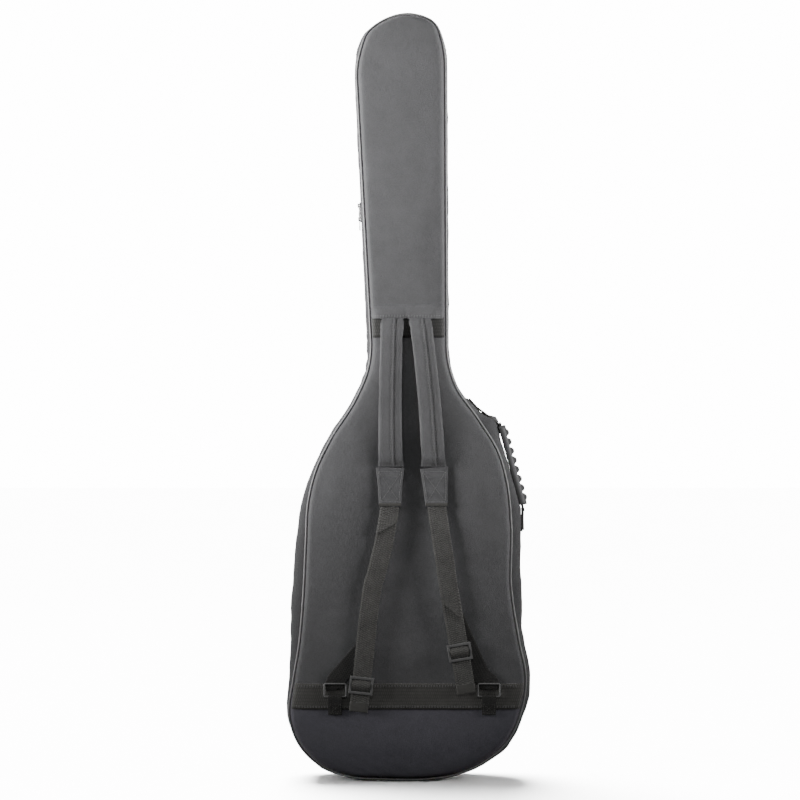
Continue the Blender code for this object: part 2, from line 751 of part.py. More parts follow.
def slider_mesh():
    """Slider whose channel wraps the coil and whose bridge holds the pull."""
    half_width, half_length = SLIDER_WIDTH / 2, SLIDER_LENGTH / 2
    lip_low = ZIP_TAPE_HIGH + SLIDER_CLEARANCE
    channel_low = ZIP_COIL_LOW - SLIDER_CLEARANCE
    channel_high = ZIP_COIL_HIGH + SLIDER_CLEARANCE
    plate_high = channel_high + SLIDER_PLATE
    bridge_high = plate_high + BRIDGE_HEIGHT
    bridge_z = half_length - BRIDGE_FROM_END
    channel_half = ZIP_COIL_HALF + SLIDER_CLEARANCE
    neck_half = ZIP_NECK_HALF + SLIDER_CLEARANCE
    past = SLIDER_LENGTH
    body = bpy.data.objects.new("slider", box_mesh(
        "slider", (lip_low, -half_width, -half_length), (plate_high, half_width, half_length)))
    CUTTERS.objects.link(body)
    bridge = add_cutter("slider_bridge", box_mesh(
        "slider_bridge",
        (channel_high + SLIDER_PLATE / 2, -BRIDGE_WIDTH / 2, bridge_z - BRIDGE_LENGTH / 2),
        (bridge_high, BRIDGE_WIDTH / 2, bridge_z + BRIDGE_LENGTH / 2)))
    cut(body, bridge, "UNION")
    eye = PULL_BAR / 2 + SLIDER_CLEARANCE
    eye_x = pull_axis_out()
    cuts = {
        "slider_channel": ((channel_low, -channel_half, -past), (channel_high, channel_half, past)),
        "slider_mouth": ((-past, -neck_half, -past), (channel_high, neck_half, past)),
        "slider_eye": ((eye_x - eye, -past, bridge_z - eye), (eye_x + eye, past, bridge_z + eye)),
    }
    for name, (low, high) in cuts.items():
        cut(body, add_cutter(name, box_mesh(name, low, high)))
    bpy.context.view_layer.update()
    evaluated = body.evaluated_get(bpy.context.evaluated_depsgraph_get())
    made = bpy.data.meshes.new_from_object(evaluated)
    bpy.data.objects.remove(body)
    for name in ("slider_bridge", *cuts):
        bpy.data.objects.remove(bpy.data.objects[name])
    return made


def pull_axis_out():
    """How far the pull's bar lies above the gusset's outer face."""
    plate_high = ZIP_COIL_HIGH + SLIDER_CLEARANCE + SLIDER_PLATE
    return plate_high + SLIDER_CLEARANCE + PULL_BAR / 2


def pull_mesh():
    """Flat pull with a window at its top, whose bar is on the axis at the local origin."""
    half, bar = PULL_WIDTH / 2, PULL_BAR / 2
    window = (BRIDGE_LENGTH / 2) + SLIDER_CLEARANCE + bar
    body = bpy.data.objects.new("pull", box_mesh(
        "pull", (-PULL_THICK / 2, -half, -PULL_LENGTH), (PULL_THICK / 2, half, bar)))
    CUTTERS.objects.link(body)
    hole = add_cutter("pull_window", box_mesh(
        "pull_window", (-PULL_WIDTH, PULL_ARM - half, -bar - window), (PULL_WIDTH, half - PULL_ARM, -bar)))
    cut(body, hole)
    bpy.context.view_layer.update()
    evaluated = body.evaluated_get(bpy.context.evaluated_depsgraph_get())
    made = bpy.data.meshes.new_from_object(evaluated)
    bpy.data.objects.remove(body)
    bpy.data.objects.remove(hole)
    return made


def frame_matrix(at, outward, across, along):
    turned = Matrix((outward, across, along)).transposed().to_4x4()
    return Matrix.Translation(at) @ turned


def add_slider(name, pull_name, at, axes, bridge_side, shapes):
    """A slider at a point on the zip's face, its bridge towards one end, and its hanging pull.

    axes are outwards, across and along the zip; the pull hangs against the last.
    """
    outward, across, along = axes
    slider_shape, pull_shape = shapes
    slider = add_object(name, slider_shape.copy(), ZIP_METAL)
    slider.matrix_world = frame_matrix(at, outward, across * bridge_side, along * bridge_side)
    pull = add_object(pull_name, pull_shape.copy(), ZIP_METAL)
    bridge_z = bridge_side * (SLIDER_LENGTH / 2 - BRIDGE_FROM_END)
    pivot = at + outward * pull_axis_out() + along * bridge_z
    pull.matrix_world = frame_matrix(pivot, outward, across, along)


def neck_zip_frame(height):
    """Point on the left gusset at a height on the straight neck, and the directions there."""
    at = gusset_point(height, False)
    along = (gusset_point(height + 0.05, False) - at).normalized()
    outward = Vector((-along.y, 0.0, along.x))
    return Vector((at.x, ZIP_Y, at.y)), outward, Vector((along.x, 0.0, along.y))


def make_main_sliders(shapes):
    apart = SLIDER_LENGTH / 2 + GAP
    for name, side in (("upper", 1), ("lower", -1)):
        at, outward, along = neck_zip_frame(SLIDER_MEETING_Z + side * apart)
        axes = (outward, along.cross(outward), along)
        add_slider("zip_slider_" + name, "zip_pull_" + name, at, axes, side, shapes)


def make_zip_stops():
    """Metal stops crimped over the back coil where the zip ends, below and above the hinge web."""

    def section(bulge):
        base = bulge + ZIP_COIL_HIGH + GAP
        line = ((base, ZIP_Y - ZIP_COIL_HALF), (base, ZIP_Y - ZIP_SPLIT))
        return thick(line, STOP_THICK, 0.0)

    for name, height in (("lower", HINGE_LOW_Z - STOP_INSET), ("upper", HINGE_HIGH_Z + STOP_INSET)):
        low = place_at(height - STOP_LENGTH / 2, True)
        high = place_at(height + STOP_LENGTH / 2, True)
        sweep("zip_stop_" + name, stretch(low, high), section, False, ZIP_METAL)


# Carry handle

def handle_line():
    """Top and bottom of the grip's inner face, its direction down the grip and outwards."""
    top, bottom = Vector(GRIP_TOP), Vector(GRIP_BOTTOM)
    along = (bottom - top).normalized()
    return top, bottom, along, Vector((-along.y, along.x))


def make_grip():
    """Moulded grip with a straight slot for the webbing and saw-toothed ribs outside."""
    top, bottom, along, outward = handle_line()
    length = (bottom - top).length
    base = GRIP_THICK - GRIP_RIB_HEIGHT
    outline = [top + outward * 0.002, top + outward * base]
    pitch = (length - 0.006) / GRIP_RIBS
    for rib in range(GRIP_RIBS):
        start = 0.003 + rib * pitch
        outline.append(top + along * (start + 0.10 * pitch) + outward * base)
        outline.append(top + along * (start + 0.35 * pitch) + outward * GRIP_THICK)
        outline.append(top + along * (start + 0.90 * pitch) + outward * (GRIP_THICK - 0.0005))
    outline.append(bottom + outward * base)
    outline.append(bottom + outward * 0.002)
    outline.append(bottom - along * 0.003)
    outline.append(top + along * 0.003)
    grip_y = BACK_SEAM_Y + HANDLE_Y_SHARE * GUSSET_DEPTH
    bm = bmesh.new()
    near = [bm.verts.new((at.x, grip_y - GRIP_DEPTH / 2, at.y)) for at in outline]
    far = [bm.verts.new((at.x, grip_y + GRIP_DEPTH / 2, at.y)) for at in outline]
    bm.faces.new(near)
    bm.faces.new(far)
    for i in range(len(outline)):
        j = (i + 1) % len(outline)
        bm.faces.new((near[i], near[j], far[j], far[i]))
    grip = add_object("handle_grip", mesh_from(bm, "handle_grip"), RUBBER)
    half_slot = HANDLE_WEBBING_DEPTH / 2 + GAP
    past = 0.02
    slot = box_mesh(
        "grip_slot",
        (GRIP_WALL_BELOW - GAP, -half_slot, -past),
        (GRIP_WALL_BELOW + HANDLE_WEBBING + GAP, half_slot, length + past),
    )
    cutter = add_cutter("grip_slot", slot)
    cutter.matrix_world = frame_matrix(
        Vector((top.x, grip_y, top.y)),
        Vector((outward.x, 0.0, outward.y)),
        Vector((0.0, 1.0, 0.0)),
        Vector((along.x, 0.0, along.y)),
    )
    cut(grip, cutter)


def make_handle_webbing():
    """Webbing from one anchor patch through the grip to the other."""
    top, bottom, along, outward = handle_line()
    in_slot = outward * (GRIP_WALL_BELOW + HANDLE_WEBBING / 2)
    lift = PATCH_THICK + 2 * GAP + HANDLE_WEBBING / 2
    path = [
        gusset_point(PATCH_UPPER_Z + 0.4 * PATCH_LENGTH, True, lift),
        gusset_point(PATCH_UPPER_Z - 0.4 * PATCH_LENGTH, True, lift),
        top + in_slot - along * 0.003,
        top + in_slot + along * 0.004,
        bottom + in_slot,
        bottom + in_slot + along * 0.004 - outward * 0.001,
        gusset_point(PATCH_LOWER_Z + 0.3 * PATCH_LENGTH, True, lift),
        gusset_point(PATCH_LOWER_Z - 0.4 * PATCH_LENGTH, True, lift),
    ]
    outline = ribbon_outline(path, [HANDLE_WEBBING] * len(path))
    made = slab("handle_webbing", outline, 0.0, HANDLE_WEBBING_DEPTH, WEB)
    made.location.y = BACK_SEAM_Y + HANDLE_Y_SHARE * GUSSET_DEPTH


def make_handle_patches():
    """Webbing patches sewn to the gusset under the handle's ends."""
    middle = BACK_SEAM_Y + HANDLE_Y_SHARE * GUSSET_DEPTH
    half = HANDLE_WEBBING_DEPTH / 2

    def section(bulge):
        bend = BACK_SEAM_Y + 0.22 * GUSSET_DEPTH
        near = middle - half
        line = ((bulge * (1 - 0.25 * (bend - near) / (0.12 * GUSSET_DEPTH)), near), (bulge, bend), (bulge, middle + half))
        return thick(line, GAP + PATCH_THICK, GAP)

    for name, height in (("upper", PATCH_UPPER_Z), ("lower", PATCH_LOWER_Z)):
        low = place_at(height - PATCH_LENGTH / 2, True)
        high = place_at(height + PATCH_LENGTH / 2, True)
        sweep("handle_patch_" + name, stretch(low, high), section, False, WEB)


# Front pocket

def rounded_rectangle(half_width, low, high, corner, steps=4):
    """Outline in (x, z) with round corners."""
    outline = []
    centres = (
        (half_width - corner, high - corner, 0.0),
        (corner - half_width, high - corner, 0.25),
        (corner - half_width, low + corner, 0.5),
        (half_width - corner, low + corner, 0.75),
    )
    for x, z, start in centres:
        for k in range(steps + 1):
            angle = math.tau * (start + 0.25 * k / steps)
            outline.append((x + corner * math.cos(angle), z + corner * math.sin(angle)))
    return outline


def make_pocket(shapes):
    outline = rounded_rectangle(POCKET_HALF_WIDTH, POCKET_LOW_Z, POCKET_HIGH_Z, POCKET_CORNER)
    pocket = slab("pocket_panel", outline, 0.0, POCKET_THICK, CLOTH)
    pocket.location.y = FRONT_SEAM_Y + FACE_OUT + GAP + POCKET_THICK / 2
    half = POCKET_HALF_WIDTH - POCKET_ZIP_MARGIN
    zip_z = POCKET_HIGH_Z + GAP + ZIP_HALF_OPENING
    face_y = FRONT_SEAM_Y + POCKET_ZIP_BASE
    bm = bmesh.new()
    profile = [
        (ZIP_TAPE_LOW, -ZIP_HALF_OPENING), (ZIP_TAPE_HIGH, -ZIP_HALF_OPENING),
        (ZIP_TAPE_HIGH, -ZIP_NECK_HALF), (ZIP_COIL_LOW, -ZIP_NECK_HALF),
        (ZIP_COIL_LOW, -ZIP_COIL_HALF), (ZIP_COIL_HIGH, -ZIP_COIL_HALF),
    ]
    profile += [(out, -up) for out, up in reversed(profile)]
    ends = []
    for x in (-half, half):
        ends.append([bm.verts.new((x, face_y + out, zip_z + up)) for out, up in profile])
    for face in ends:
        bm.faces.new(face)
    for k in range(len(profile)):
        j = (k + 1) % len(profile)
        bm.faces.new((ends[0][k], ends[0][j], ends[1][j], ends[1][k]))
    add_object("pocket_zip", mesh_from(bm, "pocket_zip"), WEB)
    start = Vector((half - SLIDER_LENGTH, face_y, zip_z))
    axes = (Vector((0, 1, 0)), Vector((0, 0, 1)), Vector((1, 0, 0)))
    add_slider("pocket_zip_slider", "pocket_zip_pull", start, axes, 1, shapes)


def main():
    make_gusset()
    make_main_zip()
    make_piping()
    make_back_panel()
    make_front_panel()
    make_strap("left", STRAP_LEFT, WEBBING_LEFT, TAIL_LEFT_END)
    make_strap("right", STRAP_RIGHT, WEBBING_RIGHT, TAIL_RIGHT_END)
    make_tri_glides()
    make_hardware()
    shapes = (slider_mesh(), pull_mesh())
    make_main_sliders(shapes)
    make_zip_stops()
    make_handle_patches()
    make_handle_webbing()
    make_grip()
    make_pocket(shapes)


clear_scene()
PARTS = new_collection("padded_gig_bag")
CUTTERS = new_collection("cutters")
OUTLINE = smooth_outline()
main()
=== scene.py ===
"""Cloth, webbing, zips and fittings of a padded bass gig bag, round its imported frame.

Lengths are in metres. +Z runs up the neck, -Y is the strap side, +X is right as that side is seen.
"""

import math
from collections import namedtuple

import bmesh
import bpy
import numpy as np
from mathutils import Matrix, Vector, noise
from mathutils.bvhtree import BVHTree


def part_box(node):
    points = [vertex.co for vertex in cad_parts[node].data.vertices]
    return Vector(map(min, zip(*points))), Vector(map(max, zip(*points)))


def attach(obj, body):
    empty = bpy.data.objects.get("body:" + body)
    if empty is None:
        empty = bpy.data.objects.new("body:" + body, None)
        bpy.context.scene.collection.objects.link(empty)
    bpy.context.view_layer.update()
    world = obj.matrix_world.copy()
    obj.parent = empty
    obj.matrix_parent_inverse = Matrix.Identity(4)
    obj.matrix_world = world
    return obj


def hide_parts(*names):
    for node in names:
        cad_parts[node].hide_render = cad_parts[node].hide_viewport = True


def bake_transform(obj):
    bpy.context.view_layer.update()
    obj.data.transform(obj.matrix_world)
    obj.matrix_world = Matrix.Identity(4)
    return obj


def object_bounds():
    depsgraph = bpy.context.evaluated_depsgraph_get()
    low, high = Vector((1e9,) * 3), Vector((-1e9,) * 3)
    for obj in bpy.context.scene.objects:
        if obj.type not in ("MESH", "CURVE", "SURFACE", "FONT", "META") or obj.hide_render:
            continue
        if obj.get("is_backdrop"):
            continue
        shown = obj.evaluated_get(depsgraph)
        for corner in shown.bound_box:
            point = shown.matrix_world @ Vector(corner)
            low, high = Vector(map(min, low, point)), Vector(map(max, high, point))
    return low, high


bl_info = {
    "name": "Padded Gig Bag",
    "version": (1, 0, 0),
    "blender": (4, 5, 0),
    "location": "3D View > Sidebar > Gig Bag",
    "description": "Builds the cloth, webbing, zips and fittings of a padded bass gig bag",
    "category": "Object",
}

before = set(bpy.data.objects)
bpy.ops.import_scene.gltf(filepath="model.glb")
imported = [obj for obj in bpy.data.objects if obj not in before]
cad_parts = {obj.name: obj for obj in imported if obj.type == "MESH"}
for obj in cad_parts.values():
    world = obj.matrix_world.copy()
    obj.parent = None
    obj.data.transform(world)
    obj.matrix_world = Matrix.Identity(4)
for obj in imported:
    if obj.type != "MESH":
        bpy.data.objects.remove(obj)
CAD_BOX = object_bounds()

# The bag's outline: height, how far in from the widest half-width, gusset bulge; on the neck the
# drop from the top, how far out from the neck's half-width, bulge
LENGTH = 1.200
BODY_HALF_WIDTH = 0.191
NECK_HALF_WIDTH = 0.0575
BODY_RIGHT = (
    (0.004, 0.161, 0.004), (0.011, 0.116, 0.006), (0.031, 0.074, 0.009), (0.063, 0.038, 0.010),
    (0.110, 0.017, 0.010), (0.156, 0.010, 0.010), (0.219, 0.021, 0.011), (0.300, 0.033, 0.012),
    (0.400, 0.033, 0.010), (0.467, 0.040, 0.008), (0.510, 0.052, 0.007), (0.563, 0.084, 0.007),
    (0.618, 0.121, 0.006), (0.680, 0.134, 0.006),
)
NECK_RIGHT = ((0.090, -0.0025, 0.006), (0.050, -0.0065, 0.006), (0.017, -0.0195, 0.005))
NECK_APEX = (0.004, 0.004, 0.004)
NECK_LEFT = (
    (0.018, -0.0110, 0.005), (0.033, 0.0065, 0.007), (0.057, 0.0155, 0.008), (0.105, 0.0220, 0.0055),
)
BODY_LEFT = (
    (0.690, 0.1335, 0.0085), (0.645, 0.130, 0.007), (0.595, 0.110, 0.007), (0.531, 0.070, 0.007),
    (0.485, 0.048, 0.008), (0.430, 0.035, 0.012), (0.375, 0.032, 0.016), (0.290, 0.028, 0.018),
    (0.210, 0.021, 0.016), (0.155, 0.012, 0.010), (0.100, 0.006, 0.006), (0.057, 0.021, 0.005),
    (0.025, 0.053, 0.007), (0.007, 0.101, 0.005), (0.004, 0.151, 0.004),
)
# How much further out the loaded gusset is pulled on the handle's side: height, distance
PULLED_RIGHT = (
    (0.236, 0.0), (0.262, 0.0050), (0.290, 0.0072), (0.360, 0.0072), (0.400, 0.0086), (0.424, 0.0098),
    (0.446, 0.0064), (0.464, 0.0046), (0.483, 0.0038), (0.503, 0.0045), (0.522, 0.0074), (0.534, 0.0108),
    (0.545, 0.0134), (0.553, 0.0132), (0.561, 0.0068), (0.569, 0.0026), (0.585, 0.0006), (0.600, 0.0),
)
OUTLINE_STEP = 0.006
LONGEST_CURVED_RUN = 0.25

# Depths, from the seam between gusset and back outwards
GUSSET_DEPTH = 0.060
BACK_SEAM_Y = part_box("gusset_left")[0].y
FRONT_SEAM_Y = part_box("front_gusset_left")[1].y
ZIP_Y = BACK_SEAM_Y + 0.64 * GUSSET_DEPTH
FOAM_EDGE = 0.0069
FOAM_EDGE_RADIUS = 0.0065
CROWN = 0.0050
CROWN_REACH = 0.030
CLOTH_SEAM_Z = 0.133
LOWER_TAPE = (0.113, 0.153)
NECK_TAPE = (0.692, 0.724)

# Shoulder straps and their webbing, as (x, z)
STRAP_LEFT = ((-0.0262, 0.724), (-0.0285, 0.600), (-0.0287, 0.488))
STRAP_RIGHT = ((0.0180, 0.724), (0.0318, 0.598), (0.0395, 0.488))
WEBBING_LEFT = ((-0.0290, 0.4297), (-0.0375, 0.378), (-0.0500, 0.325), (-0.0590, 0.285), (-0.0780, 0.110))
WEBBING_RIGHT = ((0.0435, 0.4297), (0.0500, 0.385), (0.0570, 0.340), (0.0615, 0.308), (0.0905, 0.1385))
SIDES = (("left", STRAP_LEFT, WEBBING_LEFT), ("right", STRAP_RIGHT, WEBBING_RIGHT))
HINGE_Z = (0.105, 0.235)

# Heights that reach past the bag's foot and top
FOOT, TOP = -1.0, 2.0

# Carry handle
GRIP_TOP = (0.1405, 0.553)
GRIP_BOTTOM = (0.1755, 0.4275)
GRIP_DEPTH = 0.35 * GUSSET_DEPTH
GRIP_HOLD = 0.0088
GRIP_RIBS = 8

Rim = namedtuple("Rim", "seam out bulge along")


# Outline

def eased(t):
    """0 to 1, starting and ending gently."""
    t = np.clip(t, 0.0, 1.0)
    return t * t * (3 - 2 * t)


def unit(ways):
    """The same directions, each of length one."""
    return ways / np.linalg.norm(ways, axis=1)[:, None]


def distances(path):
    """How far along a path each of its points is."""
    return np.concatenate([[0], np.cumsum(np.linalg.norm(np.diff(path, axis=0), axis=1))])


def round_loop(path):
    """Directions ahead at each point of a closed path."""
    return unit(np.roll(path, -1, 0) - np.roll(path, 1, 0))


def bump_at(x, z, cx, cz, wide, high):
    """A soft bump of height one about a place."""
    return np.exp(-(((x - cx) / wide) ** 2) - ((z - cz) / high) ** 2)


def stations():
    """Seam stations as (x, height, bulge), up the right side and down the left."""
    found = [(BODY_HALF_WIDTH - inset, z, bulge) for z, inset, bulge in BODY_RIGHT]
    found += [(NECK_HALF_WIDTH + out, LENGTH - drop, bulge) for drop, out, bulge in NECK_RIGHT]
    drop, x, bulge = NECK_APEX
    found.append((x, LENGTH - drop, bulge))
    found += [(-NECK_HALF_WIDTH - out, LENGTH - drop, bulge) for drop, out, bulge in NECK_LEFT]
    found += [(inset - BODY_HALF_WIDTH, z, bulge) for z, inset, bulge in BODY_LEFT]
    return [Vector(at) for at in found]


def tangent_at(points, i):
    """Direction of the curve at a station, along any straight run that ends there."""
    before = points[i] - points[i - 1]
    after = points[(i + 1) % len(points)] - points[i]
    if after.length > LONGEST_CURVED_RUN:
        return after.normalized()
    if before.length > LONGEST_CURVED_RUN:
        return before.normalized()
    mixed = before.normalized() * after.length + after.normalized() * before.length
    return mixed / (before.length + after.length)


def smooth_outline(step):
    """The closed outline: seam points, outward normals, bulges and distance along, as arrays."""
    given = stations()
    points = []
    for i, start in enumerate(given):
        following = (i + 1) % len(given)
        end = given[following]
        run = (end - start).length
        count = max(1, round(run / step))
        leave, arrive = tangent_at(given, i) * run, tangent_at(given, following) * run
        for k in range(count):
            t = k / count
            points.append(
                start * (2 * t**3 - 3 * t**2 + 1) + leave * (t**3 - 2 * t**2 + t)
                + end * (3 * t**2 - 2 * t**3) + arrive * (t**3 - t**2)
            )
    at = np.array(points)
    seam, bulge = at[:, :2], at[:, 2]
    ahead, behind = np.roll(seam, -1, 0) - seam, seam - np.roll(seam, 1, 0)
    run = np.linalg.norm(ahead, axis=1)
    along = unit(unit(ahead) + unit(behind))
    out = np.stack([along[:, 1], -along[:, 0]], 1)
    reach = seam[:, 0] + out[:, 0] * bulge
    seam = seam - [(reach.max() + reach.min()) / 2, 0.0]
    right = np.interp(seam[:, 1], *zip(*PULLED_RIGHT)) * (seam[:, 0] > 0)
    left = 0.0030 * bump_at(seam[:, 1], 0.0, 0.330, 0.0, 0.110, 1.0) * (seam[:, 0] < 0)
    bulge = bulge + right + left
    return Rim(seam, out, bulge, np.concatenate([[0.0], np.cumsum(run)]))


OUTLINE = smooth_outline(OUTLINE_STEP)
COUNT = len(OUTLINE.seam)


def rim_at(places):
    """The outline at fractional places along it."""
    places = np.asarray(places, float)
    low = np.floor(places).astype(int)
    t = places - low
    a, b = low % COUNT, (low + 1) % COUNT
    mixed = [v[a] * (1 - w) + v[b] * w for v, w in (
        (OUTLINE.seam, t[:, None]), (OUTLINE.out, t[:, None]), (OUTLINE.bulge, t))]
    lap = OUTLINE.along[-1]
    steps = OUTLINE.along[a + 1] - OUTLINE.along[a]
    return Rim(*mixed, OUTLINE.along[a] + steps * t + lap * (low // COUNT))


def place_at(height, right):
    """Where the outline passes a height on one side, as a fractional place."""
    for i in range(COUNT):
        low, high = OUTLINE.seam[i][1], OUTLINE.seam[(i + 1) % COUNT][1]
        if (high > low) == right and low != high and min(low, high) <= height <= max(low, high):
            return i + (height - low) / (high - low)
    raise ValueError("no such height on the outline")


def run_between(start, end, gap=0.03):
    """Places from one to another, anticlockwise as the back is seen, drawn in a little."""
    if end < start:
        end += COUNT
    inner = np.arange(math.floor(start) + 1, math.ceil(end))
    inner = inner[(inner > start + gap) & (inner < end - gap)]
    return np.concatenate([[start + gap], inner, [end - gap]])


def gusset_point(height, right, lift=0.0):
    """(x, z) on the gusset's outer face, or lifted off it, and the way outwards."""
    edge = rim_at([place_at(height, right)])
    return edge.seam[0] + edge.out[0] * (edge.bulge[0] + lift), edge.out[0]


# Small numeric helpers

def waves(s, length, seed, reach=0.0):
    """Uneven ripples along a distance, between about -1 and 1, shifting with reach across it."""
    total = np.zeros(np.broadcast(s, reach).shape)
    for k, (share, weight) in enumerate(((1.0, 0.5), (0.618, 0.3), (1.73, 0.35), (0.39, 0.15))):
        phase = seed * (1.7 + k) + k * 2.1
        total = total + weight * np.sin(math.tau * s / (length * share) + phase + reach * (40 + 17 * k))
    return total


def lumps(x, z, size, seed):
    """Soft noise over the bag's face, from -1 to 1, with lumps of about a size."""
    flat = [noise.noise((a / size, b / size, seed)) for a, b in zip(np.ravel(x), np.ravel(z))]
    return np.reshape(flat, np.shape(x))


# Meshes and objects

FLAT_MAP = "flat_places"
COPY_SHIFT = 0.0031


def scene_object(name, data):
    made = bpy.data.objects.new(name, data)
    bpy.context.scene.collection.objects.link(made)
    return made


def tidy_normals(data, sharp=math.radians(38)):
    """Turns every face outwards and shades the mesh smooth except at sharp edges."""
    bm = bmesh.new()
    bm.from_mesh(data)
    bmesh.ops.recalc_face_normals(bm, faces=bm.faces)
    bm.to_mesh(data)
    bm.free()
    data.polygons.foreach_set("use_smooth", [True] * len(data.polygons))
    data.set_sharp_from_angle(angle=sharp)
    return data


def grid_data(name, points, places, wrap_rows=False, wrap_columns=False, caps=False):
    """Mesh from a grid of points, with its own flat places in metres as the map.

    A wrapped direction has one more place than points, where it comes round.
    """
    points = np.asarray(points, float)
    rows, columns = points.shape[:2]
    last_row = rows if wrap_rows else rows - 1
    last_column = columns if wrap_columns else columns - 1
    i, j = (v.ravel() for v in np.meshgrid(np.arange(last_row), np.arange(last_column), indexing="ij"))
    corners = ((i, j), (i + 1, j), (i + 1, j + 1), (i, j + 1))
    faces = np.stack([(a % rows) * columns + b % columns for a, b in corners], 1)
    flat = np.stack([places[a, b] for a, b in corners], 1).reshape(-1, 2)
    face_list = faces.tolist()
    if caps:
        face_list.append(list(range(columns))[::-1])
        face_list.append([(rows - 1) * columns + k for k in range(columns)])
        flat = np.concatenate([flat, places[0, :columns][::-1], places[-1, :columns]])
    data = bpy.data.meshes.new(name)
    data.from_pydata(points.reshape(-1, 3).tolist(), [], face_list)
    layer = data.uv_layers.new(name=FLAT_MAP)
    layer.uv.foreach_set("vector", flat.astype(np.float32).ravel())
    return data


def many(name, template, faces, centres, ahead, up):
    """One mesh of many copies of a small shape, each at a centre, along a way and out of a surface.

    The template's axes are along, outwards, across.
    """
    centres, ahead, up = (np.asarray(v, float) for v in (centres, ahead, up))
    ahead = unit(ahead)
    up = unit(up - ahead * (up * ahead).sum(1)[:, None])
    across = np.cross(ahead, up)
    template = np.asarray(template, float)
    at = (
        centres[:, None]
        + template[None, :, 0:1] * ahead[:, None]
        + template[None, :, 1:2] * up[:, None]
        + template[None, :, 2:3] * across[:, None]
    )
    count = len(template)
    face_list = [[v + k * count for v in face] for k in range(len(centres)) for face in faces]
    data = bpy.data.meshes.new(name)
    data.from_pydata(at.reshape(-1, 3).tolist(), [], face_list)
    layer = data.uv_layers.new(name=FLAT_MAP)
    order = np.zeros(len(data.loops), int)
    data.loops.foreach_get("vertex_index", order)
    across_map, along_map = (np.tile(template[:, k], len(centres)) for k in (2, 0))
    along_map = along_map + np.repeat(np.arange(len(centres)) * COPY_SHIFT, count)
    flat = np.stack([across_map, along_map], 1)
    layer.uv.foreach_set("vector", flat[order].astype(np.float32).ravel())
    return tidy_normals(data)


def thickened(obj, thickness):
    """Gives a sheet its thickness, inwards from the face it shows."""
    change = obj.modifiers.new("cloth_thickness", "SOLIDIFY")
    change.thickness = thickness
    change.offset = -1.0
    return obj


def settled(obj):
    """Applies every modifier to the object's mesh."""
    view = bpy.context.view_layer
    view.update()
    data = bpy.data.meshes.new_from_object(obj.evaluated_get(bpy.context.evaluated_depsgraph_get()))
    obj.modifiers.clear()
    obj.data = data
    return obj


def finished(obj, finish, slot, body=None, *nodes):
    """Gives a piece its material, hides the nodes it stands for and attaches it to the body it rides on; the
    slot is not used.
    """
    obj.data.materials.clear()
    obj.data.materials.append(material_for(finish))
    if nodes:
        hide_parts(*nodes)
    if body:
        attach(obj, body)
    return obj


def piece(name, data, finish, slot, body=None, *nodes):
    """A mesh as a finished piece."""
    return finished(scene_object(name, data), finish, slot, body, *nodes)


def facing(data, way):
    """The mesh with its faces turned to a way."""
    if data.polygons[len(data.polygons) // 2].normal.dot(Vector(way)) < 0:
        data.flip_normals()
    return data


def smooth_path(points, step):
    """Points of a curve through the given ones, evenly spaced."""
    given = [np.asarray(p, float) for p in points]
    given = [2 * given[0] - given[1]] + given + [2 * given[-1] - given[-2]]
    found = []
    for a, b, c, d in zip(given, given[1:], given[2:], given[3:]):
        for t in np.linspace(0, 1, 24, endpoint=False):
            found.append(0.5 * (2 * b + (c - a) * t + (2 * a - 5 * b + 4 * c - d) * t**2
                                + (3 * b - a - 3 * c + d) * t**3))
    found = np.array(found + [given[-2]])
    far = distances(found)
    even = np.linspace(0, far[-1], max(2, round(far[-1] / step) + 1))
    return np.stack([np.interp(even, far, found[:, k]) for k in range(3)], 1)


def frames_along(path, outward, across=None):
    """Ways ahead, out of the face and across, at each point of a path."""
    ahead = unit(np.gradient(path, axis=0))
    if across is not None:
        across = np.broadcast_to(np.asarray(across, float), path.shape)
        return ahead, np.cross(across, ahead), across
    out = np.broadcast_to(np.asarray(outward, float), path.shape)
    out = unit(out - ahead * (out * ahead).sum(1)[:, None])
    return ahead, out, np.cross(ahead, out)


SELVEDGE = 0.93
SKEW_REACH = 0.03


def ribbon(name, path, width, thickness, outward=(0, -1, 0), skew=(0.0, 0.0), step=0.003, crown=0.0003,
           curl=None, across=None):
    """A flat woven ribbon on a path, its middle in the path, with rounded selvedges.

    width is one value or one for each end; skew slants the ends; curl(s, c) lifts it.
    """
    line = smooth_path(path, step)
    ahead, out, across = frames_along(line, outward, across)
    far = distances(line)
    given = np.atleast_1d(width)
    wide = np.interp(far / far[-1], np.linspace(0, 1, len(given)), given)
    share = np.array([-1, -0.985, -SELVEDGE, -0.7, -0.4, 0, 0.4, 0.7, SELVEDGE, 0.985, 1.0])
    past = np.clip((np.abs(share) - SELVEDGE) / 0.07, 0, 1)
    round_off = np.sqrt(np.clip(1 - past**2, 0.02, 1))
    top = round_off * thickness / 2 + crown * (1 - share**2)
    bottom = -round_off * thickness / 2
    c = np.concatenate([share, share[::-1][1:-1]])
    level = np.concatenate([top, bottom[::-1][1:-1]])
    shift = (
        skew[0] * c[None] * (1 - eased(far[:, None] / SKEW_REACH))
        + skew[1] * c[None] * (1 - eased((far[-1] - far[:, None]) / SKEW_REACH))
    )
    lift = curl(far[:, None], c[None] * wide[:, None] / 2) if curl else 0.0
    points = (
        line[:, None]
        + across[:, None] * (c[None] * wide[:, None] / 2)[..., None]
        + out[:, None] * (level[None] + lift + np.zeros_like(shift))[..., None]
        + ahead[:, None] * shift[..., None]
    )
    girth = np.concatenate([share * 0.5 + 0.5, (1 - share[1:] * 0.5 - 0.5) + 1.02])
    places = np.stack(np.broadcast_arrays(girth[None] * wide[:, None], far[:, None]), -1)
    return tidy_normals(grid_data(name, points, places, wrap_columns=True, caps=True))


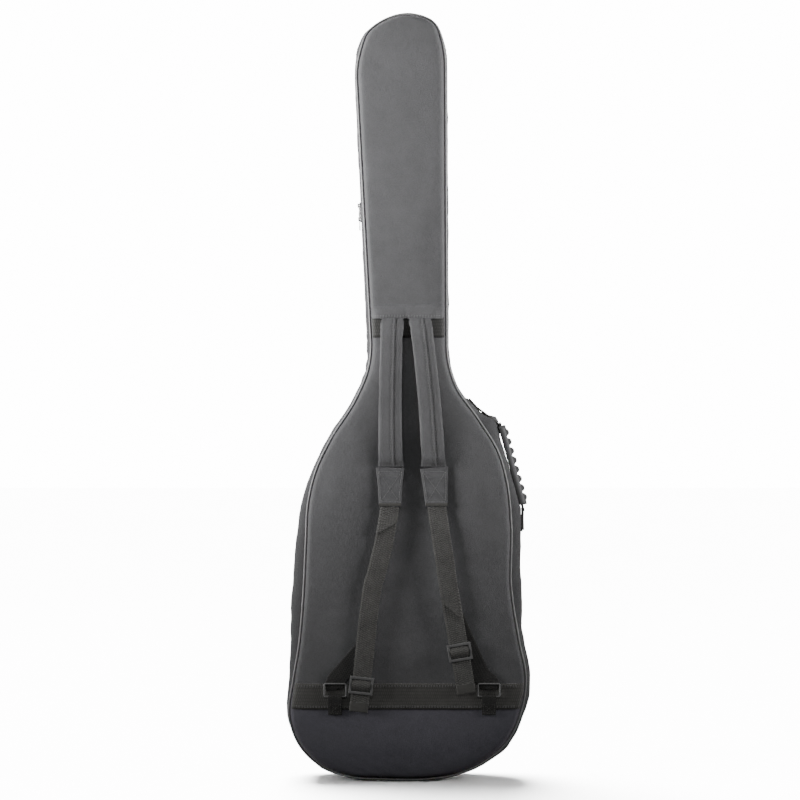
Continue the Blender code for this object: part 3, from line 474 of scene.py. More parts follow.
def tube_faces(rings, sides):
    """Faces of a tube of rings of points: its two ends, then its sides."""
    faces = [list(range(sides))[::-1], [(rings - 1) * sides + k for k in range(sides)]]
    for r in range(rings - 1):
        for k in range(sides):
            low, high, after = r * sides, (r + 1) * sides, (k + 1) % sides
            faces.append([low + k, low + after, high + after, high + k])
    return faces


# A stitch's rings: place along it, thickness, height
BEAD_RINGS = ((-0.5, 0.35, -0.6), (-0.34, 0.95, 0.1), (0.0, 1.1, 0.3), (0.34, 0.95, 0.1), (0.5, 0.35, -0.6))
BEAD_SIDES = 6


def bead(length, radius):
    """A stitch: a short plump length of thread with its ends sunk in the cloth."""
    turns = [math.tau * k / BEAD_SIDES for k in range(BEAD_SIDES)]
    points = [
        (length * a, radius * (lift + wide * math.sin(turn)), radius * wide * math.cos(turn))
        for a, wide, lift in BEAD_RINGS for turn in turns
    ]
    return points, tube_faces(len(BEAD_RINGS), BEAD_SIDES)


def stitches(name, rows, body, finish="thread", slot="cloth", length=0.0030, gap=0.0014, radius=0.00036):
    """Rows of stitches on a body, each row a path of points and the ways out of the cloth there."""
    centres, ways, ups = [], [], []
    for path, up in rows:
        path = np.asarray(path, float)
        up = np.broadcast_to(np.asarray(up, float), path.shape)
        far = distances(path)
        middles = np.arange((length + gap) / 2, far[-1] - length / 2, length + gap)
        at = [np.interp(middles + d, far, path[:, k]) for d in (-length / 2, length / 2) for k in range(3)]
        start, end = np.stack(at[:3], 1), np.stack(at[3:], 1)
        centres.append((start + end) / 2)
        ways.append(end - start)
        ups.append(np.stack([np.interp(middles, far, up[:, k]) for k in range(3)], 1))
    points, faces = bead(length, radius)
    data = many(name, points, faces, np.concatenate(centres), np.concatenate(ways), np.concatenate(ups))
    return piece(name, data, finish, slot, body)


def straight(start, end, count=2):
    return np.linspace(np.asarray(start, float), np.asarray(end, float), count)


def on_surface(data, points, way=(0, 1, 0), reach=0.3):
    """Points dropped along a way onto a mesh, and the surface's normals there."""
    tree = BVHTree.FromPolygons([v.co for v in data.vertices], [p.vertices[:] for p in data.polygons])
    way = Vector(way)
    found, normals = [], []
    for p in points:
        at, normal, _, _ = tree.ray_cast(Vector(p) - way * reach, way)
        if at is None:
            at, normal, _, _ = tree.find_nearest(Vector(p))
        found.append(at)
        normals.append(normal if normal.dot(way) < 0 else -normal)
    return np.array(found), np.array(normals)


# Swelling padding

PAD_VOXEL = 0.006
STRAP_VOXEL = 0.0028
PAD_PRESSURE = 4.0


def swollen(name, data, voxel, pressure, cap, pinned=None, frames=20):
    """The mesh remeshed, then the same mesh blown up as cloth, each point moved by at most the cap."""
    pad = scene_object(name, data)
    change = pad.modifiers.new("even_mesh", "REMESH")
    change.mode = "VOXEL"
    change.voxel_size = voxel
    settled(pad)
    before = np.array([v.co for v in pad.data.vertices])
    if pinned is not None:
        group = pad.vertex_groups.new(name="held")
        group.add(np.flatnonzero(pinned(before)).tolist(), 1.0, "REPLACE")
    cloth = pad.modifiers.new("padding", "CLOTH")
    cloth.settings.quality = 6
    cloth.settings.mass = 0.2
    cloth.settings.tension_stiffness = 12
    cloth.settings.compression_stiffness = 12
    cloth.settings.bending_stiffness = 0.6
    cloth.settings.use_pressure = True
    cloth.settings.uniform_pressure_force = pressure
    cloth.settings.effector_weights.gravity = 0.0
    if pinned is not None:
        cloth.settings.vertex_group_mass = "held"
    scene = bpy.context.scene
    for step in range(1, frames + 1):
        scene.frame_set(step)
    settled(pad)
    after = np.array([v.co for v in pad.data.vertices])
    move = after - before
    far = np.linalg.norm(move, axis=1)[:, None]
    after = before + move * np.minimum(1.0, cap / np.maximum(far, 1e-9))
    pad.data.vertices.foreach_set("co", after.ravel())
    scene.frame_set(1)
    faces = [p.vertices[:] for p in pad.data.polygons]
    bpy.data.objects.remove(pad)
    return before, after, faces


# Materials

FLOOR_BOUNCE = 0.01
LINT = (0.16, 0.16, 0.155)
BARE_METAL = (0.30, 0.30, 0.30)


class Nodes:
    """Short ways to add and join nodes in one tree."""

    def __init__(self, tree):
        self.tree = tree

    def add(self, kind, **settings):
        made = self.tree.nodes.new(kind)
        for key, value in settings.items():
            setattr(made, key, value)
        return made

    def feed(self, socket, value):
        if isinstance(value, bpy.types.NodeSocket):
            self.tree.links.new(value, socket)
        elif value is not None:
            socket.default_value = value

    def put(self, node, **values):
        """Feeds a node's sockets, named with _ for a space, and gives back its outputs."""
        for key, value in values.items():
            self.feed(node.inputs[key.replace("_", " ")], value)
        return node.outputs

    def maths(self, operation, first, second=None):
        made = self.add("ShaderNodeMath", operation=operation)
        for socket, value in zip(made.inputs, (first, second)):
            self.feed(socket, value)
        return made.outputs[0]

    def plus(self, first, second):
        return self.maths("ADD", first, second)

    def times(self, first, second):
        return self.maths("MULTIPLY", first, second)

    def mapped(self, value, low, high, to_low, to_high):
        ends = dict(From_Min=low, From_Max=high, To_Min=to_low, To_Max=to_high)
        return self.put(self.add("ShaderNodeMapRange"), Value=value, **ends)[0]

    def noise(self, place, scale, detail=3.0, roughness=0.5):
        made = self.add("ShaderNodeTexNoise")
        return self.put(made, Vector=place, Scale=scale, Detail=detail, Roughness=roughness)["Fac"]

    def cells(self, place, scale):
        return self.put(self.add("ShaderNodeTexVoronoi"), Vector=place, Scale=scale)["Distance"]

    def parts(self, place):
        return self.put(self.add("ShaderNodeSeparateXYZ"), Vector=place)

    def colours(self, factor, dark, light):
        made = self.add("ShaderNodeMix", data_type="RGBA")
        self.feed(made.inputs["Factor"], factor)
        for socket, colour in zip(made.inputs[6:8], (dark, light)):
            self.feed(socket, (*colour, 1.0) if isinstance(colour, tuple) else colour)
        return made.outputs[2]


def node_group(name, inputs, outputs, build):
    """A shader node group, built once, that takes a place and some named numbers."""
    if name in bpy.data.node_groups:
        return bpy.data.node_groups[name]
    tree = bpy.data.node_groups.new(name, "ShaderNodeTree")
    tree.interface.new_socket("Place", in_out="INPUT", socket_type="NodeSocketVector")
    for label, default in inputs.items():
        socket = tree.interface.new_socket(label, in_out="INPUT", socket_type="NodeSocketFloat")
        socket.default_value = default
    for label in outputs:
        tree.interface.new_socket(label, in_out="OUTPUT", socket_type="NodeSocketFloat")
    make = Nodes(tree)
    given = make.add("NodeGroupInput").outputs
    made = build(make, given)
    end = make.add("NodeGroupOutput")
    for label in outputs:
        make.feed(end.inputs[label], made[label])
    return tree


def weave_group():
    """Plain weave of warp and weft threads, with thicker and thinner ones among them."""

    def build(make, given):
        wobble = make.noise(given["Place"], 260.0, 2.0)
        across, along, _ = make.parts(given["Place"])
        turns = make.times(given["Threads per Metre"], math.pi)
        nudge = make.times(wobble, given["Unevenness"])
        x = make.plus(make.times(across, turns), nudge)
        y = make.plus(make.times(along, turns), nudge)
        sx, sy = make.maths("SINE", x), make.maths("SINE", y)
        over = make.maths("GREATER_THAN", make.times(sx, sy), 0.0)
        warp = make.maths("POWER", make.maths("ABSOLUTE", sx), 0.6)
        weft = make.maths("POWER", make.maths("ABSOLUTE", sy), 0.6)
        height = make.plus(make.times(warp, over), make.times(weft, make.maths("SUBTRACT", 1.0, over)))
        slub = make.put(make.add("ShaderNodeMapping"), Vector=given["Place"], Scale=(2200.0, 120.0, 1.0))
        thread = make.noise(slub[0], 1.0, 2.0)
        lifted = make.plus(make.times(height, 0.75), make.times(thread, 0.5))
        return {"Height": lifted, "Threads": make.times(height, thread)}

    inputs = {"Threads per Metre": 1500.0, "Unevenness": 1.2}
    return node_group("Plain Weave", inputs, ("Height", "Threads"), build)


def ribs_group():
    """Webbing: lengthwise cords crossed by ribs that step from cord to cord."""

    def build(make, given):
        across, along, _ = make.parts(given["Place"])
        cord = make.maths("DIVIDE", across, given["Cord Width"])
        step = make.times(make.maths("MODULO", make.maths("FLOOR", cord), 2.0), math.pi / 2)
        turn = make.times(make.maths("DIVIDE", along, given["Rib Pitch"]), math.pi)
        rib = make.maths("ABSOLUTE", make.maths("SINE", make.plus(turn, step)))
        round_cord = make.maths("ABSOLUTE", make.maths("SINE", make.times(cord, math.pi)))
        height = make.times(make.maths("POWER", rib, 0.7), make.maths("POWER", round_cord, 0.35))
        fuzz = make.noise(given["Place"], 1900.0, 2.0)
        return {
            "Height": make.plus(height, make.times(fuzz, 0.25)),
            "Cords": make.times(height, make.mapped(fuzz, 0.3, 0.7, 0.6, 1.0)),
        }

    inputs = {"Rib Pitch": 0.0019, "Cord Width": 0.0022}
    return node_group("Webbing Ribs", inputs, ("Height", "Cords"), build)


def mottle_group():
    """Broad and fine unevenness of a dyed or moulded surface."""

    def build(make, given):
        broad = make.noise(given["Place"], given["Broad Scale"], 3.0, 0.6)
        fine = make.noise(given["Place"], given["Fine Scale"], 4.0, 0.65)
        both = make.plus(make.times(broad, 0.6), make.times(fine, 0.4))
        return {"Mask": make.mapped(both, 0.32, 0.68, 0.0, 1.0)}

    return node_group("Uneven Tone", {"Broad Scale": 14.0, "Fine Scale": 420.0}, ("Mask",), build)


def dust_group():
    """Sparse specks of lint and dust."""

    def build(make, given):
        near = make.mapped(make.cells(given["Place"], given["Specks per Metre"]), 0.02, 0.10, 1.0, 0.0)
        patch = make.mapped(make.noise(given["Place"], 22.0, 3.0), 0.52, 0.72, 0.0, 1.0)
        return {"Mask": make.times(make.times(near, patch), given["Amount"])}

    return node_group("Lint Specks", {"Specks per Metre": 160.0, "Amount": 0.35}, ("Mask",), build)


def wear_and_highlight_group():
    """Lighter raised edges broken up by noise: partly worn edges, partly painted highlight."""

    def build(make, given):
        edge = make.mapped(make.add("ShaderNodeNewGeometry").outputs["Pointiness"], 0.50, 0.56, 0.0, 1.0)
        broken = make.mapped(make.noise(given["Place"], given["Scale"], 4.0, 0.7), 0.38, 0.66, 0.0, 1.0)
        return {"Mask": make.times(make.times(edge, broken), given["Amount"])}

    return node_group("Rubbed Edges", {"Scale": 350.0, "Amount": 0.6}, ("Mask",), build)


def placed(make, group, place, **values):
    """A node group in a material, with its own values."""
    return make.put(make.add("ShaderNodeGroup", node_tree=group), Place=place, **values)


def new_material(name):
    made = bpy.data.materials.new(name)
    made.use_nodes = True
    made.node_tree.nodes.clear()
    make = Nodes(made.node_tree)
    shader = make.add("ShaderNodeBsdfPrincipled")
    make.put(make.add("ShaderNodeOutputMaterial"), Surface=shader.outputs[0])
    return made, make, shader


def flat_place(make):
    return make.add("ShaderNodeUVMap", uv_map=FLAT_MAP).outputs[0]


def solid_place(make):
    return make.add("ShaderNodeTexCoord").outputs["Object"]


def bumped(make, shader, height, distance, strength=1.0):
    bump = make.put(make.add("ShaderNodeBump"), Distance=distance, Strength=strength, Height=height)
    make.put(shader, Normal=bump[0])


def woven_material(name, colour, light, roughness, depth, threads=1500.0, sheen=0.3, broad=14.0, lint=0.3):
    """Plain-woven cloth: thread tone, uneven dye, lint, and the weave's relief."""
    made, make, shader = new_material(name)
    place = flat_place(make)
    weave = placed(make, weave_group(), place, Threads_per_Metre=threads)
    tone = placed(make, mottle_group(), place, Broad_Scale=broad)["Mask"]
    dust = placed(make, dust_group(), place, Amount=lint)["Mask"]
    slub = make.mapped(make.noise(place, 520.0, 2.0, 0.7), 0.36, 0.64, 0.0, 1.0)
    share = make.plus(make.times(tone, 0.40), make.times(weave["Threads"], 0.45))
    share = make.plus(share, make.times(slub, 0.30))
    dyed = make.colours(share, colour, light)
    make.put(shader, Base_Color=make.colours(dust, dyed, LINT),
             Roughness=make.mapped(weave["Threads"], 0.0, 0.8, roughness + 0.06, roughness - 0.08),
             Sheen_Weight=sheen, Sheen_Roughness=0.45, Specular_IOR_Level=0.35)
    bumped(make, shader, make.plus(weave["Height"], make.times(slub, 0.8)), depth, 0.9)
    return made


def ribbed_material(name, colour, light, roughness, depth, pitch=0.0019, cord=0.0022, sheen=0.15):
    """Webbing: ribs and cords, worn lighter on their crests."""
    made, make, shader = new_material(name)
    place = flat_place(make)
    ribs = placed(make, ribs_group(), place, Rib_Pitch=pitch, Cord_Width=cord)
    tone = placed(make, mottle_group(), place, Broad_Scale=45.0, Fine_Scale=700.0)["Mask"]
    share = make.plus(make.times(ribs["Cords"], 0.75), make.times(tone, 0.35))
    make.put(shader, Base_Color=make.colours(share, colour, light),
             Roughness=make.mapped(ribs["Cords"], 0.0, 1.0, roughness + 0.08, roughness - 0.08),
             Sheen_Weight=sheen, Sheen_Roughness=0.5)
    bumped(make, shader, ribs["Height"], depth, 0.9)
    return made


def moulded_material(name, colour, light, roughness, grain, depth, metallic=0.0, rubbed=0.6, flat=False):
    """Moulded plastic, rubber, cord or painted metal: fine grain, uneven tone and lighter raised edges,
    partly wear and partly painted highlight.
    """
    made, make, shader = new_material(name)
    place = flat_place(make) if flat else solid_place(make)
    tone = placed(make, mottle_group(), place, Broad_Scale=60.0, Fine_Scale=grain)["Mask"]
    # Raised edges lightened: partly wear, partly painted highlight
    rub_and_highlight = placed(make, wear_and_highlight_group(), place, Amount=rubbed)["Mask"]
    base = make.colours(tone, colour, tuple(c * 1.35 for c in colour))
    rough = make.mapped(tone, 0.0, 1.0, roughness - 0.06, roughness + 0.08)
    rough = make.maths("SUBTRACT", rough, make.times(rub_and_highlight, 0.12))
    make.put(shader, Base_Color=make.colours(rub_and_highlight, base, light), Roughness=rough, Metallic=metallic)
    bumped(make, shader, make.noise(place, grain * 1.6, 3.0, 0.6), depth, 0.8)
    return made


def corded_material(name, colour, light, roughness):
    """Piping: thin cloth wrapped round a cord, with its twist showing through."""
    made, make, shader = new_material(name)
    place = flat_place(make)
    weave = placed(make, weave_group(), place, Threads_per_Metre=1900.0)
    across, along, _ = make.parts(place)
    twist = make.plus(make.times(across, 1250.0), make.times(along, 420.0))
    strand = make.maths("ABSOLUTE", make.maths("SINE", twist))
    tone = placed(make, mottle_group(), place, Broad_Scale=30.0)["Mask"]
    share = make.plus(make.times(strand, 0.35), make.times(tone, 0.5))
    make.put(shader, Base_Color=make.colours(share, colour, light), Specular_IOR_Level=0.6,
             Roughness=make.mapped(weave["Threads"], 0.0, 0.8, roughness + 0.06, roughness - 0.06))
    height = make.plus(make.times(strand, 0.7), make.times(weave["Height"], 0.4))
    bumped(make, shader, height, 0.00018, 0.7)
    return made


def foam_material(name, colour, light):
    """Cut foam: open cells."""
    made, make, shader = new_material(name)
    place = solid_place(make)
    cells = make.cells(place, 750.0)
    tone = placed(make, mottle_group(), place, Broad_Scale=30.0, Fine_Scale=500.0)["Mask"]
    hollow = make.mapped(cells, 0.0, 0.6, 0.0, 1.0)
    share = make.plus(make.times(tone, 0.5), make.times(hollow, 0.5))
    make.put(shader, Base_Color=make.colours(share, colour, light),
             Roughness=make.mapped(tone, 0.0, 1.0, 0.85, 0.97))
    bumped(make, shader, cells, 0.0004, 0.8)
    return made


# Each finish: how it is made, its label, its colour in the sidebar, how dark and how light it runs (or
# the light colour itself), roughness, and the maker's other values in order
CORDS = (0.0034, 0.0040)
TAPE_CORDS = (0.0030, 0.0050)
FINISHES = {
    "cloth": (woven_material, "Black 600 denier cloth", "cloth", 0.75, 1.45, 0.66, 0.00022),
    # The main cloth darkened for the sides: painted shade on the gussets and the hinge cloth
    "gusset_cloth": (woven_material, "Black gusset cloth", "cloth", 0.42, 0.85, 0.70, 0.00022),
    "wear_cloth": (woven_material, "Coated cloth", "wear_cloth", 0.8, 1.35, 0.60, 0.00016, 1700.0, 0.2),
    "lining": (woven_material, "Thin lining cloth", "lining", 0.8, 1.4, 0.62, 0.00012, 2600.0, 0.1),
    "webbing": (ribbed_material, "Ribbed webbing", "webbing", 0.15, 1.85, 0.62, 0.0007, *CORDS),
    # The webbing darkened: painted shade on the ring tabs and on the webbing behind the rings
    "dark_webbing": (ribbed_material, "Inner webbing", "webbing", 0.10, 0.45, 0.75, 0.0005, *CORDS, 0.0),
    "tape": (ribbed_material, "Sewn-on tape", "webbing", 0.55, 1.55, 0.70, 0.00035, *TAPE_CORDS),
    "neck_tape": (ribbed_material, "Neck tape", "webbing", 0.15, 0.60, 0.75, 0.00035, *TAPE_CORDS, 0.0),
    "binding": (ribbed_material, "Grosgrain binding", "webbing", 0.7, 1.5, 0.65, 0.00012, 0.0010, 0.0300),
    "zip_tape": (ribbed_material, "Zip tape", "webbing", 0.6, 1.3, 0.70, 0.00012, 0.0009, 0.0012),
    "piping": (corded_material, "Piping cord", "piping", 0.7, 1.3, 0.45),
    # For moulded finishes the light colour is that of the raised edges: partly wear, partly painted highlight
    "thread": (moulded_material, "Bonded thread", "thread", 0.9, 1.5, 0.50, 2600.0, 0.00004, 0.0, 0.6, True),
    "foam": (foam_material, "Cut foam", "foam", 0.85, 1.15),
    "plastic": (moulded_material, "Moulded buckle plastic", "plastic", 0.9, 2.8, 0.40, 1400.0, 0.00004),
    "rubber": (moulded_material, "Ribbed grip rubber", "rubber", 0.9, 2.6, 0.52, 800.0, 0.00008, 0.0, 0.8),
    "zip_metal": (moulded_material, "Zip metal", "zip_metal", 0.9, BARE_METAL, 0.34, 1800.0, 0.00003, 0.6),
    "coil": (moulded_material, "Zip coil", "plastic", 0.6, 2.0, 0.36, 1500.0, 0.00002, 0.0, 0.6, True),
}


def tint(colour, share):
    return share if isinstance(share, tuple) else tuple(min(1.0, v * share) for v in colour)


def material_for(finish):
    """The material of a finish, made the first time it is asked for."""
    key = "bag_" + finish
    found = bpy.context.scene.get(key)
    if found is None:
        make, label, colour, dark, light, *values = FINISHES[finish]
        colour = getattr(bpy.context.scene.bag_colours, colour)
        found = make(label, tint(colour, dark), tint(colour, light), *values)
        bpy.context.scene[key] = found
    return found


def floor_material():
    """Pale painted studio floor with a faint roller texture."""
    made, make, shader = new_material("Pale studio floor")
    place = solid_place(make)
    tone = placed(make, mottle_group(), place, Broad_Scale=0.8, Fine_Scale=30.0)["Mask"]
    pale = make.colours(tone, (0.86, 0.86, 0.86), (0.90, 0.90, 0.90))
    seen = make.add("ShaderNodeLightPath").outputs["Is Camera Ray"]
    shown = make.mapped(seen, 0.0, 1.0, FLOOR_BOUNCE, 1.0)
    make.put(shader, Base_Color=make.times(pale, shown), Specular_IOR_Level=0.0,
             Roughness=make.mapped(tone, 0.0, 1.0, 0.75, 0.9))
    bumped(make, shader, make.noise(place, 90.0), 0.0002, 0.3)
    return made


# Faces of the bag: the padded back and front

FACES = {}
RIM_STEP = 0.0015
CLOTH_INSET = 0.0002
FOAM_THICKNESS = 0.0050
LINING_THICKNESS = 0.0006
LINING_LIFT = -0.0105


class Face:
    """The surface of a padded side: how far out it stands over every point of the outline."""

    def __init__(self, seam_y, side, seed, swell):
        self.seam_y, self.side, self.seed = seam_y, side, seed
        places = np.arange(0, COUNT, COUNT * RIM_STEP / OUTLINE.along[-1])
        self.rim = rim_at(places).seam.astype(np.float32)
        self.grid_step = 0.006
        self.x0, self.z0 = self.rim.min(0) - self.grid_step
        self.field = None
        if swell:
            self.field = self.swelling()

    def inside(self, x, z):
        """Distance in from the seam."""
        flat = np.stack([np.ravel(x), np.ravel(z)], 1).astype(np.float32)
        found = np.empty(len(flat), np.float32)
        for low in range(0, len(flat), 4000):
            part = flat[low:low + 4000]
            found[low:low + 4000] = np.sqrt(((part[:, None] - self.rim[None]) ** 2).sum(2).min(1))
        return found.reshape(np.shape(x)).astype(float)

    def plain_height(self, x, z, d):
        """Height of the outer face off the seam before it swells."""
        t = np.clip(d / FOAM_EDGE_RADIUS, 0, 1)
        edge = 0.0006 + FOAM_EDGE * np.sqrt(1 - (1 - t) ** 2)
        crown = CROWN * (1 - (1 - np.clip(d / CROWN_REACH, 0, 1)) ** 2.2)
        return edge + crown + self.form(x, z) * eased(d / 0.05)

    def form(self, x, z):
        """Broad shape: fuller at the sides and foot, hollow down the middle of the back."""
        if self.side > 0:
            return 0.0015 * bump_at(x, z, 0.0, 0.62, 0.14, 0.10)
        left = 0.0062 * bump_at(x, z, -0.106, 0.445, 0.058, 0.150)
        right = 0.0052 * bump_at(x, z, 0.106, 0.440, 0.055, 0.145)
        valley = -0.0064 * bump_at(x, z, 0.010, 0.370, 0.050, 0.230)
        lower = 0.0030 * bump_at(x, z, 0.0, 0.055, 0.120, 0.050)
        return left + right + valley + lower

    def creases(self, x, z, d):
        """Small puckers by the seams and soft unevenness elsewhere."""
        near = np.exp(-((d - 0.012) / 0.010) ** 2)
        pucker = 0.00035 * near * waves(z + 0.6 * x, 0.021, self.seed)
        soft = 0.0007 * lumps(x, z, 0.070, self.seed) + 0.00035 * lumps(x, z, 0.026, self.seed + 3.1)
        calm = 1.0 if self.side < 0 else 0.25 + 0.75 * eased((z - 0.42) / 0.08)
        return (pucker + soft * calm) * eased(d / 0.014)

    def swelling(self):
        """How much further out the padding stands once it has swelled between the lines that hold it."""
        data = self.cloth_data("pad_form", 0.0015, extra=lambda x, z: -0.0012 + 0 * x)
        form = scene_object("pad_form", data)
        thickened(form, 0.009)
        settled(form)
        closed = form.data
        bpy.data.objects.remove(form)
        seam_y, side = self.seam_y, self.side

        def pinned(at):
            d = self.inside(at[:, 0], at[:, 2])
            taped = (at[:, 2] > LOWER_TAPE[0]) & (at[:, 2] < LOWER_TAPE[1])
            taped |= (at[:, 2] > NECK_TAPE[0]) & (at[:, 2] < NECK_TAPE[1] + 0.006)
            back = (at[:, 1] - seam_y) * side < 0.004
            return (d < 0.008) | taped | back

        before, after, faces = swollen("pad_form", closed, PAD_VOXEL, PAD_PRESSURE, 0.005, pinned)
        hi = self.rim.max(0)
        xs = np.arange(self.x0, hi[0] + 2 * self.grid_step, self.grid_step)
        zs = np.arange(self.z0, hi[1] + 2 * self.grid_step, self.grid_step)
        way = Vector((0, -self.side, 0))
        heights = []
        for at in (before, after):
            tree = BVHTree.FromPolygons(at.tolist(), faces)
            rows = np.zeros((len(xs), len(zs)))
            for i, x in enumerate(xs):
                for j, z in enumerate(zs):
                    hit = tree.ray_cast(Vector((x, self.seam_y + self.side * 0.1, z)), way)[0]
                    rows[i, j] = 0.0 if hit is None else (hit.y - self.seam_y) * self.side
            heights.append(rows)
        change = heights[1] - heights[0]
        change[(heights[0] == 0) | (heights[1] == 0)] = 0.0
        for _ in range(2):
            padded = np.pad(change, 1, mode="edge")
            across, up = padded[:, 1:-1], padded[1:-1]
            change = (across[:-2] + across[2:] + up[:, :-2] + up[:, 2:] + 4 * change) / 8
        return np.clip(change, -0.002, 0.005)

    def swell_at(self, x, z):
        """The swelling, read from its grid."""
        if self.field is None:
            return 0.0
        i = np.clip((x - self.x0) / self.grid_step, 0, self.field.shape[0] - 1.001)
        j = np.clip((z - self.z0) / self.grid_step, 0, self.field.shape[1] - 1.001)
        a, b = np.floor(i).astype(int), np.floor(j).astype(int)
        u, v = i - a, j - b
        f = self.field
        return (f[a, b] * (1 - u) * (1 - v) + f[a + 1, b] * u * (1 - v)
                + f[a, b + 1] * (1 - u) * v + f[a + 1, b + 1] * u * v)

    def height(self, x, z, d=None):
        """Height of the finished outer face off the seam."""
        x, z = np.broadcast_arrays(np.asarray(x, float), np.asarray(z, float))
        d = self.inside(x, z) if d is None else d
        swell = self.swell_at(x, z) * eased((d - 0.006) / 0.03)
        return self.plain_height(x, z, d) + self.creases(x, z, d) + swell * self.free(x, z)

    def free(self, x, z):
        """How freely the face swells: little where straps and webbing lie on it."""
        if self.side > 0:
            return 0.8 * eased((z - 0.43) / 0.08) + 0.0 * x
        held = np.maximum(bump_at(x, z, 0.002, 0.60, 0.062, 0.13), bump_at(x, z, -0.055, 0.27, 0.055, 0.19))
        held = np.maximum(held, bump_at(x, z, 0.065, 0.30, 0.055, 0.19))
        return 1 - 0.85 * np.clip(held * 1.3, 0, 1)

    def spread(self, inset, low, high, step=0.005):
        """Rows and columns of (x, z) that fill the outline between two heights."""
        pts = OUTLINE.seam - OUTLINE.out * inset
        top = int(np.argmax(pts[:, 1]))
        right, left = pts[:top + 1], pts[top:]
        floor = max(right[0, 1], left[-1, 1]) + 0.0001
        roof = pts[top, 1] - 0.0004
        low, high = max(low, floor), min(high, roof)
        rows = np.linspace(low, high, max(2, round((high - low) / step) + 1))
        fine = 0.016 * np.linspace(0, 1, 12) ** 2
        if low == floor:
            rows = np.concatenate([low + fine, rows[rows > low + 0.018]])
        if high == roof:
            rows = np.concatenate([rows[rows < high - 0.018], (high - fine)[::-1]])
        right_x = np.interp(rows, np.maximum.accumulate(right[:, 1]), right[:, 0])
        left_z = np.maximum.accumulate(left[::-1, 1])
        left_x = np.interp(rows, left_z, left[::-1, 0])
        edges = np.array([0, 0.0006, 0.0014, 0.0026, 0.0042, 0.0062, 0.0090, 0.0125, 0.0170])
        width = (right_x - left_x)[:, None]
        scale = np.minimum(1.0, 0.36 * width / edges[-1])
        near = edges[None] * scale
        middle = np.linspace(0, 1, 46)[1:-1]
        inner = near[:, -1:] + (width - 2 * near[:, -1:]) * middle[None]
        across = np.concatenate([near, inner, width - near[:, ::-1]], 1)
        return left_x[:, None] + across, rows[:, None] + np.zeros_like(across)

    def cloth_data(self, name, inset, low=FOOT, high=TOP, lift=0.0, extra=None, upright=False, step=0.005):
        """A sheet that follows the face."""
        x, z = self.spread(inset, low, high, step)
        d = self.inside(x, z)
        if extra is None:
            out = self.height(x, z, d)
        else:
            out = self.plain_height(x, z, d) + extra(x, z)
        points = np.stack([x, self.seam_y + self.side * (out + lift), z], -1)
        places = np.stack([z, x] if upright else [x, z], -1)
        return tidy_normals(grid_data(name, points, places))

    def sheet(self, name, inset, thickness, low=FOOT, high=TOP, lift=0.0, upright=False, step=0.005):
        """That sheet as a piece with a thickness, its shown side outwards."""
        data = self.cloth_data(name, inset, low, high, lift, upright=upright, step=step)
        return settled(thickened(scene_object(name, facing(data, (0, self.side, 0))), thickness))


def back():
    return FACES["back"]


def on_back(x, z, lift=0.0):
    """Points on the back's outer face."""
    x, z = np.broadcast_arrays(np.asarray(x, float), np.asarray(z, float))
    return np.stack([x, BACK_SEAM_Y - back().height(x, z) - lift, z], -1)


def face_area(low=FOOT, high=TOP):
    """Flat area of the outline between two heights."""
    x, z = FACES["back"].spread(0.001, low, high)
    return float(np.trapz(x[:, -1] - x[:, 0], z[:, 0]))


# Gussets, piping and zips that run round the outline

BACK_WALL = 0.0314
FRONT_WALL = 0.0146
BACK_STEPS = (0, 1.2, 2.6, 4.5, 7, 10, 13.5, 18, 22, 25.2, 27.3, 27.8, 28.2, 28.6, 30.4, 31.1, 31.4)
FRONT_STEPS = (0, 1.2, 2.6, 4.5, 6.5, 8.6, 10.2, 10.9, 11.3, 11.7, 13.6, 14.3, 14.6)
WALL = 0.0038
HEM_STITCH = 0.0034
RIPPLE_Z = 0.665
RIPPLE_LENGTH = 0.023
CUT_DISTANCE = 0.060
ZIP_LEVELS = (-0.0038, -0.0031)


def swept(name, places, outs, ys, wrap=False):
    """A solid whose section follows the outline; outs and ys are (stations, corners)."""
    edge = rim_at(places)
    at = edge.seam[:, None] + edge.out[:, None] * outs[..., None]
    points = np.stack([at[..., 0], ys + 0 * outs, at[..., 1]], -1)
    steps = np.hypot(np.diff(outs[len(outs) // 2]), np.diff((ys + 0 * outs)[len(outs) // 2]))
    girth = np.concatenate([[0], np.cumsum(steps)])
    girth = np.append(girth, girth[-1] + 0.002)
    along = np.append(edge.along, edge.along[-1] + 0.006)
    flat = np.stack(np.meshgrid(along, girth, indexing="ij"), -1)
    data = grid_data(name, points, flat, wrap_rows=wrap, wrap_columns=True, caps=not wrap)
    return tidy_normals(data)


def wall_out(bulge, y, rise, depth, along, seed):
    """How far out the gusset's face stands at a depth from the seam."""
    shape = np.sin(np.clip(y / rise, 0, 1) * math.pi / 2) ** 0.7
    pucker = 0.00045 * np.exp(-((y - 0.005) / 0.005) ** 2) * waves(along, 0.017, seed)
    sag = 0.0010 * np.sin(math.pi * np.clip(y / depth, 0, 1)) * waves(along, 0.150, seed + 5, y * 0.6)
    fold = 0.0006 * np.sin(math.pi * np.clip(y / depth, 0, 1)) ** 2 * waves(along, 0.047, seed + 9, y)
    return bulge * shape + pucker + sag + fold


def zip_ripple(along_z, side_left):
    """Extra waviness by the zip at the foot of the neck."""
    reach = np.exp(-((along_z - RIPPLE_Z) / 0.055) ** 2)
    return 0.0011 * side_left * reach * np.sin(along_z * math.tau / RIPPLE_LENGTH)


def gusset_places():
    """Where the gusset's four lengths start and end on the outline."""
    low_right, low_left = (place_at(CUT_DISTANCE, right) for right in (True, False))
    high_right, high_left = (place_at(LENGTH - CUT_DISTANCE, right) for right in (True, False))
    return {
        "right": (low_right, high_right),
        "top": (high_right, high_left),
        "left": (high_left, low_left),
        "bottom": (low_left, low_right),
    }


